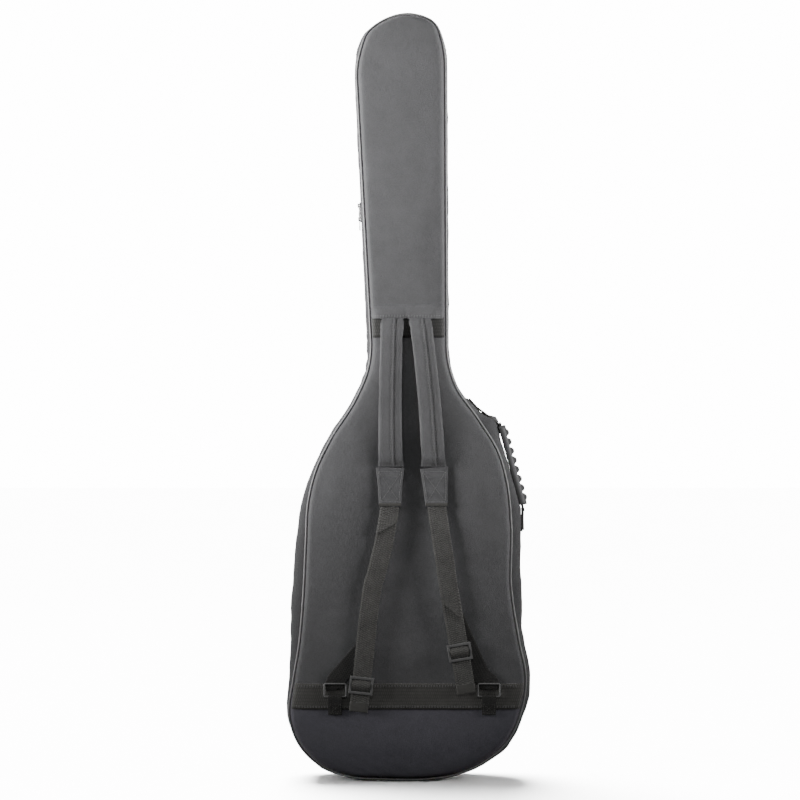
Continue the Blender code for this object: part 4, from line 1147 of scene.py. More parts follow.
def gusset_face(edge, side):
    """Outs and ys of the gusset's outer face, seam to zip."""
    steps = np.array(BACK_STEPS if side < 0 else FRONT_STEPS) / 1000
    depth, rise = (BACK_WALL, 0.0132) if side < 0 else (FRONT_WALL, 0.0090)
    outs = wall_out(edge.bulge[:, None], steps[None], rise, depth, edge.along[:, None], 2.0 + side)
    near_zip = eased((steps[None] - depth * 0.35) / (depth * 0.5))
    outs = outs + zip_ripple(edge.seam[:, 1:], edge.seam[:, :1] < 0) * near_zip
    if side < 0:
        held = bump_at(edge.seam[:, 1:], steps[None], GRIP_TOP[1] - 0.003, GRIP_DEPTH, 0.0150, 0.0095)
        outs = outs + GRIP_HOLD * held * (edge.seam[:, :1] > 0)
    hem = eased((steps - (depth - 0.0034)) / 0.0006) * 0.00045
    groove = -0.0004 * np.exp(-((steps - (depth - HEM_STITCH)) / 0.0004) ** 2)
    round_off = -0.0010 * eased((steps - (depth - 0.0006)) / 0.0006)
    seam_y = BACK_SEAM_Y if side < 0 else FRONT_SEAM_Y
    return outs + hem + groove + round_off, seam_y - side * steps[None]


def make_gusset(name, start, end, side):
    """One cut length of the side strip, padded to its wall's thickness."""
    places = run_between(start, end)
    edge = rim_at(places)
    outs, ys = gusset_face(edge, side)
    inner = outs[:, ::-1][:, 1::3] - WALL
    inner_ys = np.broadcast_to(ys[:, ::-1][:, 1::3], inner.shape)
    ys = np.broadcast_to(ys, outs.shape)
    return swept(name, places, np.concatenate([outs, inner], 1), np.concatenate([ys, inner_ys], 1))


def hem_rows(start, end, side):
    """Stitches along the gusset's hem by the zip, and the seam's top stitching."""
    places = run_between(start, end, 0.3)
    edge = rim_at(places)
    outs, ys = gusset_face(edge, side)
    steps = np.array(BACK_STEPS if side < 0 else FRONT_STEPS) / 1000
    depth = BACK_WALL if side < 0 else FRONT_WALL
    k = int(np.argmin(np.abs(steps - (depth - HEM_STITCH))))
    at = edge.seam + edge.out * (outs[:, k:k + 1] + 0.0002)
    path = np.stack([at[:, 0], np.broadcast_to(ys, outs.shape)[:, k], at[:, 1]], 1)
    return path, np.stack([edge.out[:, 0], 0 * edge.out[:, 0], edge.out[:, 1]], 1)


def cross_seam(place, side):
    """Points across the gusset beside a cross seam."""
    edge = rim_at([place])
    outs, ys = gusset_face(edge, side)
    at = edge.seam[0] + edge.out[0] * (outs[0, 2:-3, None] + 0.0003)
    path = np.stack([at[:, 0], ys[0, 2:-3], at[:, 1]], 1)
    return path, (edge.out[0][0], 0.0, edge.out[0][1])


def zip_places():
    """Where the zip starts and ends, above and below the hinge."""
    return place_at(HINGE_Z[1], True), place_at(HINGE_Z[0], True)


def zip_tape(name, side):
    """One of the main zip's two tapes."""
    places = run_between(*zip_places())
    edge = rim_at(places)
    inner, outer = ZIP_Y + side * 0.0004, ZIP_Y + side * 0.0068
    levels = edge.bulge[:, None] + 0.0001 * waves(edge.along, 0.030, 4.0)[:, None]
    ripple = zip_ripple(edge.seam[:, 1:], edge.seam[:, :1] < 0)
    low, high = ZIP_LEVELS
    outs = np.concatenate([levels + at for at in (low, low, high, high, high)], 1) + ripple
    ys = np.array([inner, outer, outer, (inner + outer) / 2, inner])[None]
    return swept(name, places, outs, ys)


COIL_TOOTH = [
    (a * wide, level, across)
    for across, wide in ((-0.0006, 0.85), (0.0016, 1.0), (0.0029, 0.8))
    for a, level in ((-0.00050, -0.0031), (0.00050, -0.0031), (0.00052, -0.0012), (0.00024, -0.0004),
                     (-0.00024, -0.0004), (-0.00052, -0.0012))
]
COIL_FACES = tube_faces(3, 6)
TOOTH_PITCH = 0.0020


def coil(name, side):
    """Half of the closed zip's coil, its turns meshing with the other half's."""
    start, end = zip_places()
    edge = rim_at(run_between(start, end, 0.2))
    far = np.arange(edge.along[0] + TOOTH_PITCH * (1 if side < 0 else 1.5), edge.along[-1], TOOTH_PITCH)
    level = edge.bulge + zip_ripple(edge.seam[:, 1], edge.seam[:, 0] < 0)
    at = edge.seam + edge.out * level[:, None]
    x, z = np.interp(far, edge.along, at[:, 0]), np.interp(far, edge.along, at[:, 1])
    ox, oz = np.interp(far, edge.along, edge.out[:, 0]), np.interp(far, edge.along, edge.out[:, 1])
    zeros = 0 * x
    up = np.stack([ox, zeros, oz], 1)
    ahead = np.stack([-oz, zeros, ox], 1)
    turned = ahead if np.cross(ahead[0], up[0])[1] * side > 0 else -ahead
    return many(name, COIL_TOOTH, COIL_FACES, np.stack([x, zeros + ZIP_Y, z], 1), turned, up)


def piping(name, seam_y, side):
    """The cord in a face's seam, its thickness a little uneven."""
    places = np.linspace(0, COUNT, round(COUNT / 0.7), endpoint=False)
    edge = rim_at(places)
    turns = np.linspace(0, math.tau, 14, endpoint=False)
    radius = 0.00195 + 0.00006 * waves(edge.along, 0.013, 7.0)[:, None]
    outs = 0.0018 + radius * np.cos(turns)[None]
    ys = seam_y + side * (0.0022 + radius * np.sin(turns)[None])
    return swept(name, places, outs, ys, wrap=True)


# Fittings shaped like mouldings

def joined(name, blocks):
    """One mesh of several closed shapes, each given as points and faces."""
    points, faces = [], []
    for block_points, block_faces in blocks:
        faces += [[len(points) + v for v in face] for face in block_faces]
        points += [tuple(p) for p in block_points]
    data = bpy.data.meshes.new(name)
    data.from_pydata(points, [], faces)
    return tidy_normals(data)


BLOCK_FACES = [[0, 1, 3, 2], [4, 6, 7, 5], [0, 4, 5, 1], [2, 3, 7, 6], [0, 2, 6, 4], [1, 5, 7, 3]]


def block(low, high, turn=None):
    """A box between two corners, turned by a matrix."""
    points = [(x, y, z) for x in (low[0], high[0]) for y in (low[1], high[1]) for z in (low[2], high[2])]
    if turn is not None:
        points = [tuple(turn @ Vector(p)) for p in points]
    return points, BLOCK_FACES


def bar(start, end, radii, outward, sides=14):
    """A rounded bar between two points, with its two radii across and outwards."""
    start, end = Vector(start), Vector(end)
    ahead = (end - start).normalized()
    out = Vector(outward).normalized()
    out = (out - ahead * out.dot(ahead)).normalized()
    across = ahead.cross(out)
    points = []
    for at in (start, end):
        for k in range(sides):
            turn = math.tau * k / sides
            points.append(at + across * (radii[0] * math.cos(turn)) + out * (radii[1] * math.sin(turn)))
    return points, tube_faces(2, sides)


def node_block(node):
    """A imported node's own shape."""
    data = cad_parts[node].data
    return [v.co[:] for v in data.vertices], [p.vertices[:] for p in data.polygons]


def moulded(name, blocks, voxel, smooth, strength=0.5):
    """Shapes fused into one moulding with softened edges."""
    obj = scene_object(name, joined(name, blocks))
    weld = obj.modifiers.new("weld", "WELD")
    weld.merge_threshold = 0.000005
    fuse = obj.modifiers.new("fuse", "REMESH")
    fuse.mode = "VOXEL"
    fuse.voxel_size = voxel
    fuse.use_smooth_shade = True
    soften = obj.modifiers.new("soften", "SMOOTH")
    soften.factor = strength
    soften.iterations = smooth
    settled(obj)
    tidy_normals(obj.data, math.radians(60))
    return obj


def local_frame(node_axis_at, outward, along):
    """Matrix whose x is outwards, y across and z along."""
    outward, along = Vector(outward).normalized(), Vector(along).normalized()
    across = along.cross(outward)
    turned = Matrix((outward, across, along)).transposed().to_4x4()
    return Matrix.Translation(Vector(node_axis_at)) @ turned


# Sidebar values

def colour_value(name, description, default):
    return bpy.props.FloatVectorProperty(
        name=name, description=description, default=default, subtype="COLOR", size=3, min=0.0, max=1.0)


def length_value(name, description, default):
    return bpy.props.FloatProperty(
        name=name, description=description, default=default, unit="LENGTH", subtype="DISTANCE", min=0.0)


class BagColours(bpy.types.PropertyGroup):
    cloth: colour_value("Cloth", "Main woven cloth", (0.060, 0.060, 0.063))
    wear_cloth: colour_value("Bottom cloth", "Coated cloth at the bottom", (0.066, 0.064, 0.078))
    webbing: colour_value("Webbing", "Straps' webbing, tapes and tabs", (0.045, 0.044, 0.040))
    piping: colour_value("Piping", "Cord in the seam round each face", (0.170, 0.170, 0.172))
    thread: colour_value("Thread", "Stitching", (0.115, 0.115, 0.115))
    lining: colour_value("Lining", "Thin cloth inside", (0.050, 0.050, 0.055))
    foam: colour_value("Foam", "Padding between cloth and lining", (0.22, 0.22, 0.23))
    plastic: colour_value("Plastic", "Sliders and rings on the straps", (0.095, 0.095, 0.095))
    rubber: colour_value("Rubber", "Carry handle's grip", (0.135, 0.135, 0.137))
    zip_metal: colour_value("Zip metal", "Zip sliders, pulls and stops", (0.070, 0.070, 0.070))


class BagSizes(bpy.types.PropertyGroup):
    webbing_width: length_value("Webbing width", "Width of the adjusting webbing", 0.029)
    webbing_thickness: length_value("Webbing thickness", "Thickness of the adjusting webbing", 0.0014)
    cloth_thickness: length_value("Cloth thickness", "Thickness of the outer cloth", 0.0008)
    strap_top: length_value("Strap width at the top", "Where the straps are sewn to the neck", 0.0415)
    strap_end: length_value("Strap width at the end", "Where the padding ends", 0.0455)
    stitch_length: length_value("Stitch length", "Length of one stitch", 0.0030)


def sizes():
    return bpy.context.scene.bag_sizes


class BagPiece:
    bl_options = {"REGISTER", "UNDO"}


class GIGBAG_OT_faces(BagPiece, bpy.types.Operator):
    """Padded back and front: swelled padding, cloth, foam and lining"""

    bl_idname = "gigbag.faces"
    bl_label = "Back and front"

    def execute(self, context):
        FACES["back"] = Face(BACK_SEAM_Y, -1, 1.3, True)
        FACES["front"] = Face(FRONT_SEAM_Y, 1, 4.7, True)
        thick = sizes().cloth_thickness
        for name, finish, node, low, high in (
            ("back_panel_cloth", "cloth", "back_panel", CLOTH_SEAM_Z, TOP),
            ("bottom_wear_cloth", "wear_cloth", "bottom_wear_panel", FOOT, CLOTH_SEAM_Z),
        ):
            cloth = back().sheet(name, CLOTH_INSET, thick, low, high)
            finished(cloth, finish, finish, "shell", node)
            face_area(low, high)
        cloth = FACES["front"].sheet("front_panel_cloth", CLOTH_INSET, thick)
        finished(cloth, "cloth", "cloth", "front_flap", "front_panel")
        face_area()
        for side, body in (("back", "shell"), ("front", "front_flap")):
            face = FACES[side]
            foam = face.sheet(side + "_foam_pad", 0.0035, FOAM_THICKNESS, lift=-0.0024, step=0.008)
            finished(foam, "foam", "padding", body, side + "_foam")
            lining = face.cloth_data(side + "_lining_cloth", 0.0030, lift=LINING_LIFT, step=0.008)
            cloth = settled(thickened(scene_object(side + "_lining_cloth", lining), LINING_THICKNESS))
            finished(cloth, "lining", "lining", body, side + "_lining")
            face_area()
        return {"FINISHED"}


class GIGBAG_OT_gussets(BagPiece, bpy.types.Operator):
    """Side strips, back and front halves, in four cut lengths, with their hems' stitches"""

    bl_idname = "gigbag.gussets"
    bl_label = "Gussets"

    def execute(self, context):
        for side, prefix, body in ((-1, "", "shell"), (1, "front_", "front_flap")):
            rows = []
            for part, (start, end) in gusset_places().items():
                node = prefix + "gusset_" + part
                data = make_gusset(node + "_cloth", start, end, side)
                # The gusset's darker cloth is painted shade on the sides
                piece(node + "_cloth", data, "gusset_cloth", "cloth", body, node)
                last = end if end > start else end + COUNT
                rows.append(hem_rows(start, end, side))
                rows += [cross_seam(start + 0.7, side), cross_seam(last - 0.7, side)]
            stitches(prefix + "gusset_stitches", rows, body)
        return {"FINISHED"}


class GIGBAG_OT_piping(BagPiece, bpy.types.Operator):
    """Cord piping in the seam round the back and the front"""

    bl_idname = "gigbag.piping"
    bl_label = "Piping"

    def execute(self, context):
        for name, seam_y, way, body in (
            ("back_piping", BACK_SEAM_Y, -1, "shell"), ("front_piping", FRONT_SEAM_Y, 1, "front_flap"),
        ):
            piece(name + "_cord", piping(name + "_cord", seam_y, way), "piping", "trim", body, name)
        return {"FINISHED"}


class GIGBAG_OT_main_zip(BagPiece, bpy.types.Operator):
    """Main zip round the side: tapes, coil halves, end stops and the cloth that hinges the front"""

    bl_idname = "gigbag.main_zip"
    bl_label = "Main zip"

    def execute(self, context):
        for side, name, body in ((-1, "back", "shell"), (1, "front", "front_flap")):
            tape, teeth = "zip_tape_%s_cloth" % name, "zip_coil_" + name
            piece(tape, zip_tape(tape, side), "zip_tape", "webbing", body, "zip_tape_" + name)
            piece(teeth, coil(teeth, side), "coil", "webbing", body)
        self.hinge()
        for name, height in (("lower", HINGE_Z[0] - 0.004), ("upper", HINGE_Z[1] + 0.004)):
            self.stop(name, height)
        return {"FINISHED"}

    def hinge(self):
        """The cloth that joins the halves where the zip leaves off."""
        places = run_between(place_at(HINGE_Z[0], True), place_at(HINGE_Z[1], True))
        edge = rim_at(places)
        share = np.linspace(-1, 1, 13)
        level = edge.bulge[:, None] - 0.0032 - 0.0006 * np.cos(share * math.pi / 2)[None] ** 2
        level = level + 0.0002 * waves(edge.along[:, None], 0.020, 3.0, share[None] * 0.01)
        outs = np.concatenate([level, level[:, ::-1] - 0.0009], 1)
        ys = ZIP_Y + 0.0067 * np.concatenate([share, share[::-1]])[None]
        data = swept("hinge_web_cloth", places, outs, ys)
        # The hinge cloth takes the gussets' painted shade
        web = piece("hinge_web_cloth", data, "gusset_cloth", "cloth", None, "hinge_web")
        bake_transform(web)

    def stop(self, name, height):
        """A crimped metal stop with a raised bar."""
        at, out = gusset_point(height, True, 0.0001)
        outward = (out[0], 0, out[1])
        turn = local_frame((at[0], ZIP_Y - 0.0016, at[1]), outward, (-out[1], 0.0, out[0]))
        ends = [turn @ Vector((0.0009, y, 0)) for y in (-0.0012, 0.0012)]
        blocks = [block((0, -0.0014, -0.0018), (0.0011, 0.0014, 0.0018), turn),
                  bar(*ends, (0.0009, 0.0005), outward)]
        crimp = moulded("zip_stop_%s_crimp" % name, blocks, 0.00022, 2)
        finished(crimp, "zip_metal", "zip_metal", "shell", "zip_stop_" + name)


class GIGBAG_OT_sliders(BagPiece, bpy.types.Operator):
    """Zip sliders and pulls of the main zip and of the front pocket"""

    bl_idname = "gigbag.sliders"
    bl_label = "Zip sliders and pulls"

    def execute(self, context):
        zips = (("zip_%s_upper", "main_%s_upper"), ("zip_%s_lower", "main_%s_lower"),
                ("pocket_zip_%s", "pocket_%s"))
        for node, body in zips:
            name = node % "slider"
            cast = moulded(name + "_cast", [node_block(name)], 0.00028, 3)
            finished(cast, "zip_metal", "zip_metal", body % "slider", name)
        for node, body in zips:
            name = node % "pull"
            low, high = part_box(name)
            middle, size = (low + high) / 2, high - low
            blocks = [node_block(name)]
            sideways = size.x > size.z
            for k in range(4):
                far = size[0 if sideways else 2] * (0.10 + 0.09 * k)
                for face in (-1, 1):
                    if sideways:
                        at = Vector((low.x + far, middle.y + face * 0.0007, middle.z))
                        reach, out = Vector((0, 0, 0.0030)), (0, face, 0)
                    else:
                        at = Vector((middle.x + face * 0.0007, middle.y, low.z + far))
                        reach, out = Vector((0, 0.0030, 0)), (face, 0, 0)
                    blocks.append(bar(at - reach, at + reach, (0.0005, 0.00045), out, 8))
            tag = moulded(name + "_tag", blocks, 0.00024, 2)
            finished(tag, "zip_metal", "zip_metal", body % "pull", name)
        return {"FINISHED"}


# Pieces sewn on the back

TAPE_LIFT = 0.0014
TAPE_THICKNESS = 0.0012
STRAP_INNER = 0.0149
STRAP_THICK = 0.0100
STRAP_TOP_SHARE = 0.34
STRAP_SEAM = 0.0035
STRAP_SEAM_HALF = 0.0026
WEB_LEVEL = 0.0195
TAB_LEVEL = 0.0195
RING_LEVEL = 0.0172
RING_AXIS_Z = 0.1335


def strap_line(line, z):
    """Middle of a strap at a height."""
    zs = [p[1] for p in line][::-1]
    path = smooth_path([(x, 0.0, z) for x, z in line[::-1]], 0.004)
    return np.interp(z, path[:, 2], path[:, 0])


def over_straps(x):
    """How much the straps' sewn ends lift what covers them, with a dip where the straps part."""
    low = STRAP_LEFT[0][0] - sizes().strap_top / 2
    high = STRAP_RIGHT[0][0] + sizes().strap_top / 2
    middle = (STRAP_LEFT[0][0] + STRAP_RIGHT[0][0]) / 2
    dip = 0.25 * np.exp(-((x - middle) / 0.004) ** 2)
    return eased((x - low + 0.011) / 0.012) * eased((high + 0.011 - x) / 0.012) - dip


class GIGBAG_OT_tapes(BagPiece, bpy.types.Operator):
    """Webbing tapes across the back, and the turned edge of cloth over the straps' ends"""

    bl_idname = "gigbag.tapes"
    bl_label = "Tapes across the back"

    def execute(self, context):
        for name, (low, high) in (("neck_tape", NECK_TAPE), ("lower_tape", LOWER_TAPE)):
            tape = back().sheet(name + "_webbing", 0.0016, TAPE_THICKNESS, low, high, TAPE_LIFT, True, 0.004)
            finished(tape, "neck_tape" if name == "neck_tape" else "tape", "webbing", "shell", name)
        rows = self.turned_edge()
        x, z = back().spread(0.004, 0.10, 0.16, 0.02)
        for height in (LOWER_TAPE[0] + 0.0030, LOWER_TAPE[0] + 0.0050,
                       LOWER_TAPE[1] - 0.0030, LOWER_TAPE[1] - 0.0050):
            row = int(np.argmin(np.abs(z[:, 0] - height)))
            line = np.linspace(x[row, 0] + 0.004, x[row, -1] - 0.004, 200)
            rows.append((on_back(line, height, TAPE_LIFT + 0.0002), (0, -1, 0)))
        stitches("tape_stitches", rows, "shell")
        return {"FINISHED"}

    def turned_edge(self):
        """The turned edge of cloth over the straps' sewn ends; returns its rows of stitches."""
        x, z = back().spread(0.0012, 0.7212, 0.7480, 0.0012)
        d = back().inside(x, z)
        low = 1 - eased((z - 0.7235) / 0.0225)
        sunk = 0.0018 * eased((z - 0.7380) / 0.0090)
        edge = 0.0006 * eased((0.7245 - z) / 0.002) * waves(x, 0.026, 3.0)
        raised = low * (0.0013 + 0.0034 * over_straps(x)) * eased(d / 0.006)
        out = back().height(x, z, d) + 0.0010 + raised + edge - sunk
        points = np.stack([x, BACK_SEAM_Y - out, z + 0.0005 * waves(x, 0.030, 1.0) * (z < 0.7218)], -1)
        data = facing(tidy_normals(grid_data("neck_seam_edge", points, np.stack([x, z], -1))), (0, -1, 0))
        cloth = settled(thickened(scene_object("neck_seam_edge", data), sizes().cloth_thickness))
        finished(cloth, "cloth", "cloth", "shell")
        line = np.linspace(x[0, 0] + 0.004, x[0, -1] - 0.004, 90)
        y = BACK_SEAM_Y - 0.02
        return [on_surface(data, [(at, y, height) for at in line]) for height in (0.7236, 0.7262)]


def strap_form(line):
    """The strap's padding before it swells: a loft with a rounded section, thinner where it is sewn."""
    zs = np.arange(line[2][1], line[0][1] + 0.001, 0.004)
    turns = np.linspace(0, math.tau, 28, endpoint=False)
    share = (zs - zs[0]) / (zs[-1] - zs[0])
    wide = sizes().strap_end + (sizes().strap_top - sizes().strap_end) * share - 0.0022
    thick = STRAP_THICK * (STRAP_TOP_SHARE + (1 - STRAP_TOP_SHARE) * eased((zs[-1] - zs) / 0.035))
    thick = thick * (0.62 + 0.38 * eased((zs - zs[0]) / 0.014)) - 0.0012
    cos, sin = np.cos(turns), np.sin(turns)
    x = strap_line(line, zs)[:, None] + wide[:, None] / 2 * np.sign(cos) * np.abs(cos) ** 0.4
    out = STRAP_INNER + 0.0006 + thick[:, None] / 2 * (1 + np.sign(sin) * np.abs(sin) ** 0.55)
    points = np.stack([x, BACK_SEAM_Y - out, zs[:, None] + 0 * x], -1)
    flat = np.zeros((len(zs), 29, 2))
    return tidy_normals(grid_data("strap_form", points, flat, wrap_columns=True, caps=True))


def strap_data(name, line, seed):
    """The swelled strap with its lapped middle seam and the dents of its stitching."""
    _, after, faces = swollen("strap_form", strap_form(line), STRAP_VOXEL, PAD_PRESSURE, 0.0014)
    tree = BVHTree.FromPolygons(after.tolist(), faces)
    low, high = after[:, 2].min() + 0.0004, after[:, 2].max() - 0.0004
    zs = np.linspace(low, high, 118)
    s, h = STRAP_SEAM, STRAP_SEAM_HALF
    seam = [s - h - 0.0009, s - h, s - h + 0.0009, s - 0.0004, s]
    seam += [s + 0.0003, s + h - 0.0009, s + h, s + h + 0.0009]
    shares = [-0.985, -0.95, -0.88, -0.76, -0.6, -0.42, -0.24]
    front = []
    rows = []
    for z in zs:
        middle = float(strap_line(line, z))
        level = BACK_SEAM_Y - STRAP_INNER - 0.0022
        ends = []
        for way in (-1, 1):
            hit = tree.ray_cast(Vector((middle + way * 0.1, level, z)), Vector((-way, 0, 0)))[0]
            ends.append(hit.x if hit else middle + way * 0.02)
        half = (ends[1] - ends[0]) / 2
        centre = (ends[1] + ends[0]) / 2
        cs = [c * half for c in shares] + seam + [-c * half for c in shares[::-1][1:]]
        backs = [c * half for c in (0.93, 0.6, 0.2, -0.2, -0.6, -0.93)]
        row = []
        for way, offsets in ((1, cs), (-1, backs)):
            for c in offsets:
                start = Vector((centre + c, BACK_SEAM_Y - way * 0.06, z))
                hit = tree.ray_cast(start, Vector((0, way, 0)))[0]
                y = hit.y if hit else level
                if way > 0:
                    end = eased((z - low) / 0.006)
                    lap = 0.0008 * math.exp(-(s - c) / 0.012) if c <= s else 0.0
                    dent = sum(0.00055 * math.exp(-((c - k) / 0.0007) ** 2) for k in (s - h, s + h))
                    soft = 0.00035 * noise.noise((c / 0.013, z / 0.030, seed))
                    pull = 0.0007 * math.exp(-((z - low - 0.004) / 0.0012) ** 2)
                    y -= (lap - dent + soft) * end - pull
                row.append((centre + c, y, z))
        rows.append(row)
        front.append((centre, z))
    points = np.array(rows)
    columns = points.shape[1]
    across = points[..., 0] - points[:, :1, 0]
    count = len(cs)
    behind = across[:, count - 1:count] * 2 - across[:, count:] + 0.01
    girth = np.concatenate([across[:, :count], behind], 1)
    girth = np.concatenate([girth, girth[:, -1:] + 0.01], 1)
    flat = np.stack([girth, np.repeat(zs[:, None], columns + 1, 1)], -1)
    data = grid_data(name, points, flat, wrap_columns=True, caps=True)
    return tidy_normals(data, math.radians(60)), front


class GIGBAG_OT_straps(BagPiece, bpy.types.Operator):
    """Padded shoulder straps with a lapped and twice-stitched middle seam"""

    bl_idname = "gigbag.straps"
    bl_label = "Shoulder straps"

    def execute(self, context):
        for (side, line, _), seed in zip(SIDES, (1.0, 6.0)):
            name, body = "shoulder_strap_" + side, "strap_" + side
            data, centres = strap_data(name + "_pad", line, seed)
            piece(name + "_pad", data, "cloth", "cloth", body, name)
            y = BACK_SEAM_Y - 0.03
            paths = [[(x + offset, y, z) for x, z in centres[3:-3]]
                     for offset in (STRAP_SEAM - STRAP_SEAM_HALF, STRAP_SEAM + STRAP_SEAM_HALF)]
            x, z = centres[2]
            half = sizes().strap_end / 2 - 0.003
            paths.append([(x + c, y, z) for c in np.linspace(-half, half, 14)])
            rows = [on_surface(data, path) for path in paths]
            stitches(name + "_stitches", rows, body, length=sizes().stitch_length)
        return {"FINISHED"}


def box_and_cross(data, corners, y, count):
    """Rows of stitches round a four-cornered box and over its diagonals, on a mesh."""
    rows = []
    for a, b in ((0, 1), (1, 2), (2, 3), (3, 0), (0, 2), (1, 3)):
        rows.append(on_surface(data, [(x, y, z) for x, z in straight(corners[a], corners[b], count)]))
    return rows


class GIGBAG_OT_tabs(BagPiece, bpy.types.Operator):
    """Cloth tabs at the straps' ends, with a folded hem and a box-and-cross of stitches"""

    bl_idname = "gigbag.tabs"
    bl_label = "Strap tabs"

    def execute(self, context):
        for side, line, web in SIDES:
            top, end_x, body = line[2], web[0][0], "strap_" + side
            y = BACK_SEAM_Y - TAB_LEVEL
            name = "strap_tab_%s_cloth" % side
            path = [(top[0], y, 0.4892), ((top[0] + end_x) / 2, y, 0.460), (end_x, y, 0.4300)]
            data = ribbon(name, path, (0.0440, 0.0375, 0.0342), 0.0027, step=0.0022, crown=0.0003,
                          curl=lambda s, c: 0.0003 * waves(s, 0.021, 2.0, c * 0.5))
            piece(name, data, "cloth", "cloth", body, "strap_tab_" + side)
            path = [(end_x + way * 0.0171, y - 0.00175, 0.4322) for way in (-1, 1)]
            hem = ribbon(name + "_hem", path, 0.0048, 0.0007, step=0.002, crown=0.0002,
                         curl=lambda s, c: 0.0002 * waves(s, 0.006, 5.0))
            piece("strap_tab_%s_hem" % side, hem, "binding", "cloth", body)
            half_top, half_low = 0.0180, 0.0138
            high, low = 0.4835, 0.4370
            corners = [(top[0] - half_top, high), (top[0] + half_top, high),
                       (end_x + half_low, low), (end_x - half_low, low)]
            rows = box_and_cross(data, corners, y - 0.01, 14)
            stitches("strap_tab_%s_stitches" % side, rows, body, length=0.0026, gap=0.0012)
        return {"FINISHED"}


def web_path(line, start, end, lift=0.0):
    """Part of a webbing's line between two heights, at the webbing's level."""
    path = smooth_path([(x, BACK_SEAM_Y - WEB_LEVEL, z) for x, z in line], 0.004)
    part = path[(path[:, 2] <= start) & (path[:, 2] >= end)]
    for height, place in ((start, 0), (end, len(part))):
        if line[-1][1] <= height <= line[0][1]:
            x = np.interp(height, path[::-1, 2], path[::-1, 0])
            part = np.insert(part, min(place, len(part)), (x, BACK_SEAM_Y - WEB_LEVEL, height), axis=0)
    keep = np.concatenate([[True], np.abs(np.diff(part[:, 2])) > 0.0005])
    part = part[keep]
    part[:, 1] -= lift
    return part


# Where the webbing is folded over itself: the upper length's end, the lower's start and the slant
FOLDS = {"left": (0.3955, 0.4080, 0.012), "right": (0.2660, 0.3000, -0.0165)}
GLIDES = {"left": 0.151, "right": 0.203}


class GIGBAG_OT_webbing(BagPiece, bpy.types.Operator):
    """Adjusting webbing from the straps' tabs, folded once, down through the sliders to its tail"""

    bl_idname = "gigbag.webbing"
    bl_label = "Adjusting webbing"

    def execute(self, context):
        width, thick = sizes().webbing_width, sizes().webbing_thickness
        for side, _, line in SIDES:
            fold, start, skew = FOLDS[side]
            glide, body = GLIDES[side], "strap_" + side
            name = "webbing_%s_upper" % side
            data = ribbon(name, web_path(line, line[0][1] + 0.004, fold), width, thick, skew=(0.0, skew),
                          curl=lambda s, c: 0.0022 * eased((s - 0.012) / 0.03) + 0.0004 * waves(s, 0.05, 3.0))
            upper = piece(name, data, "webbing", "webbing", None, "strap_webbing_" + side)

            def sway(s, c, glide=glide, start=start):
                free = eased(np.abs(start - s - glide) / 0.05 - 0.35)
                twist = 0.0004 * c / 0.0145 * waves(s, 0.055, 8.0)
                return (0.0007 * waves(s, 0.075, 1.0) + twist) * free - 0.0002

            name = "webbing_%s_lower" % side
            path = web_path(line, start, line[-1][1])
            data = ribbon(name, path, width, thick, skew=(skew * 0.8, 0.0), curl=sway)
            lower = piece(name, data, "webbing", "webbing", None, "webbing_tail_" + side)
            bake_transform(upper)
            if side == "left":
                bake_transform(lower)
            else:
                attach(lower, "shell")
            self.tail(side, line, width, thick)
        return {"FINISHED"}

    def tail(self, side, line, width, thick):
        """The sewn hem at the webbing's end."""
        low_z = line[-1][1]
        tail = web_path(line, low_z + 0.016, low_z + 0.002)
        across = frames_along(tail, (0, -1, 0))[2]
        way = across[0] * (width / 2 - 0.002)
        raised = (0, thick / 2 + 0.0004, 0)
        rows = []
        for far in (0.25, 0.8):
            at = tail[int(far * (len(tail) - 1))]
            rows.append((straight(at - way - raised, at + way - raised, 8), (0, -1, 0)))
        stitches("webbing_%s_tail_stitches" % side, rows, "shell", slot="webbing", length=0.0022)
        name = "webbing_%s_tail_hem" % side
        hem = ribbon(name, web_path(line, low_z + 0.0150, low_z + 0.0006, 0.0013), width - 0.0008, 0.0010,
                     curl=lambda s, c: 0.0002 * waves(s, 0.010, 2.0, c))
        piece(name, hem, "binding", "webbing", "shell")


def wire(name, path, radius, sides=14):
    """A closed round wire through points."""
    path = np.asarray(path, float)
    ahead = round_loop(path)
    out = np.broadcast_to((0.0, -1.0, 0.0), path.shape)
    across = np.cross(ahead, out)
    turns = np.linspace(0, math.tau, sides, endpoint=False)
    points = (path[:, None] + across[:, None] * (radius * np.cos(turns))[None, :, None]
              + out[:, None] * (radius * np.sin(turns))[None, :, None])
    flat = np.zeros((len(path) + 1, sides + 1, 2))
    flat[..., 0] = np.arange(sides + 1) * 0.0006
    flat[..., 1] = (np.arange(len(path) + 1) * 0.001)[:, None]
    return tidy_normals(grid_data(name, points, flat, wrap_rows=True, wrap_columns=True))


def round_rectangle(half, low, high, corner, steps=6, step=0.004):
    """Closed outline (x, z) with round corners, evenly filled along its sides."""
    found = []
    for x, z, start in ((half - corner, high - corner, 0.0), (corner - half, high - corner, 0.25),
                        (corner - half, low + corner, 0.5), (half - corner, low + corner, 0.75)):
        for k in range(steps + 1):
            turn = math.tau * (start + 0.25 * k / steps)
            found.append((x + corner * math.cos(turn), z + corner * math.sin(turn)))
    filled = []
    for a, b in zip(found, found[1:] + found[:1]):
        a, b = Vector(a), Vector(b)
        count = max(1, round((b - a).length / step))
        filled += [a.lerp(b, k / count) for k in range(count)]
    return filled


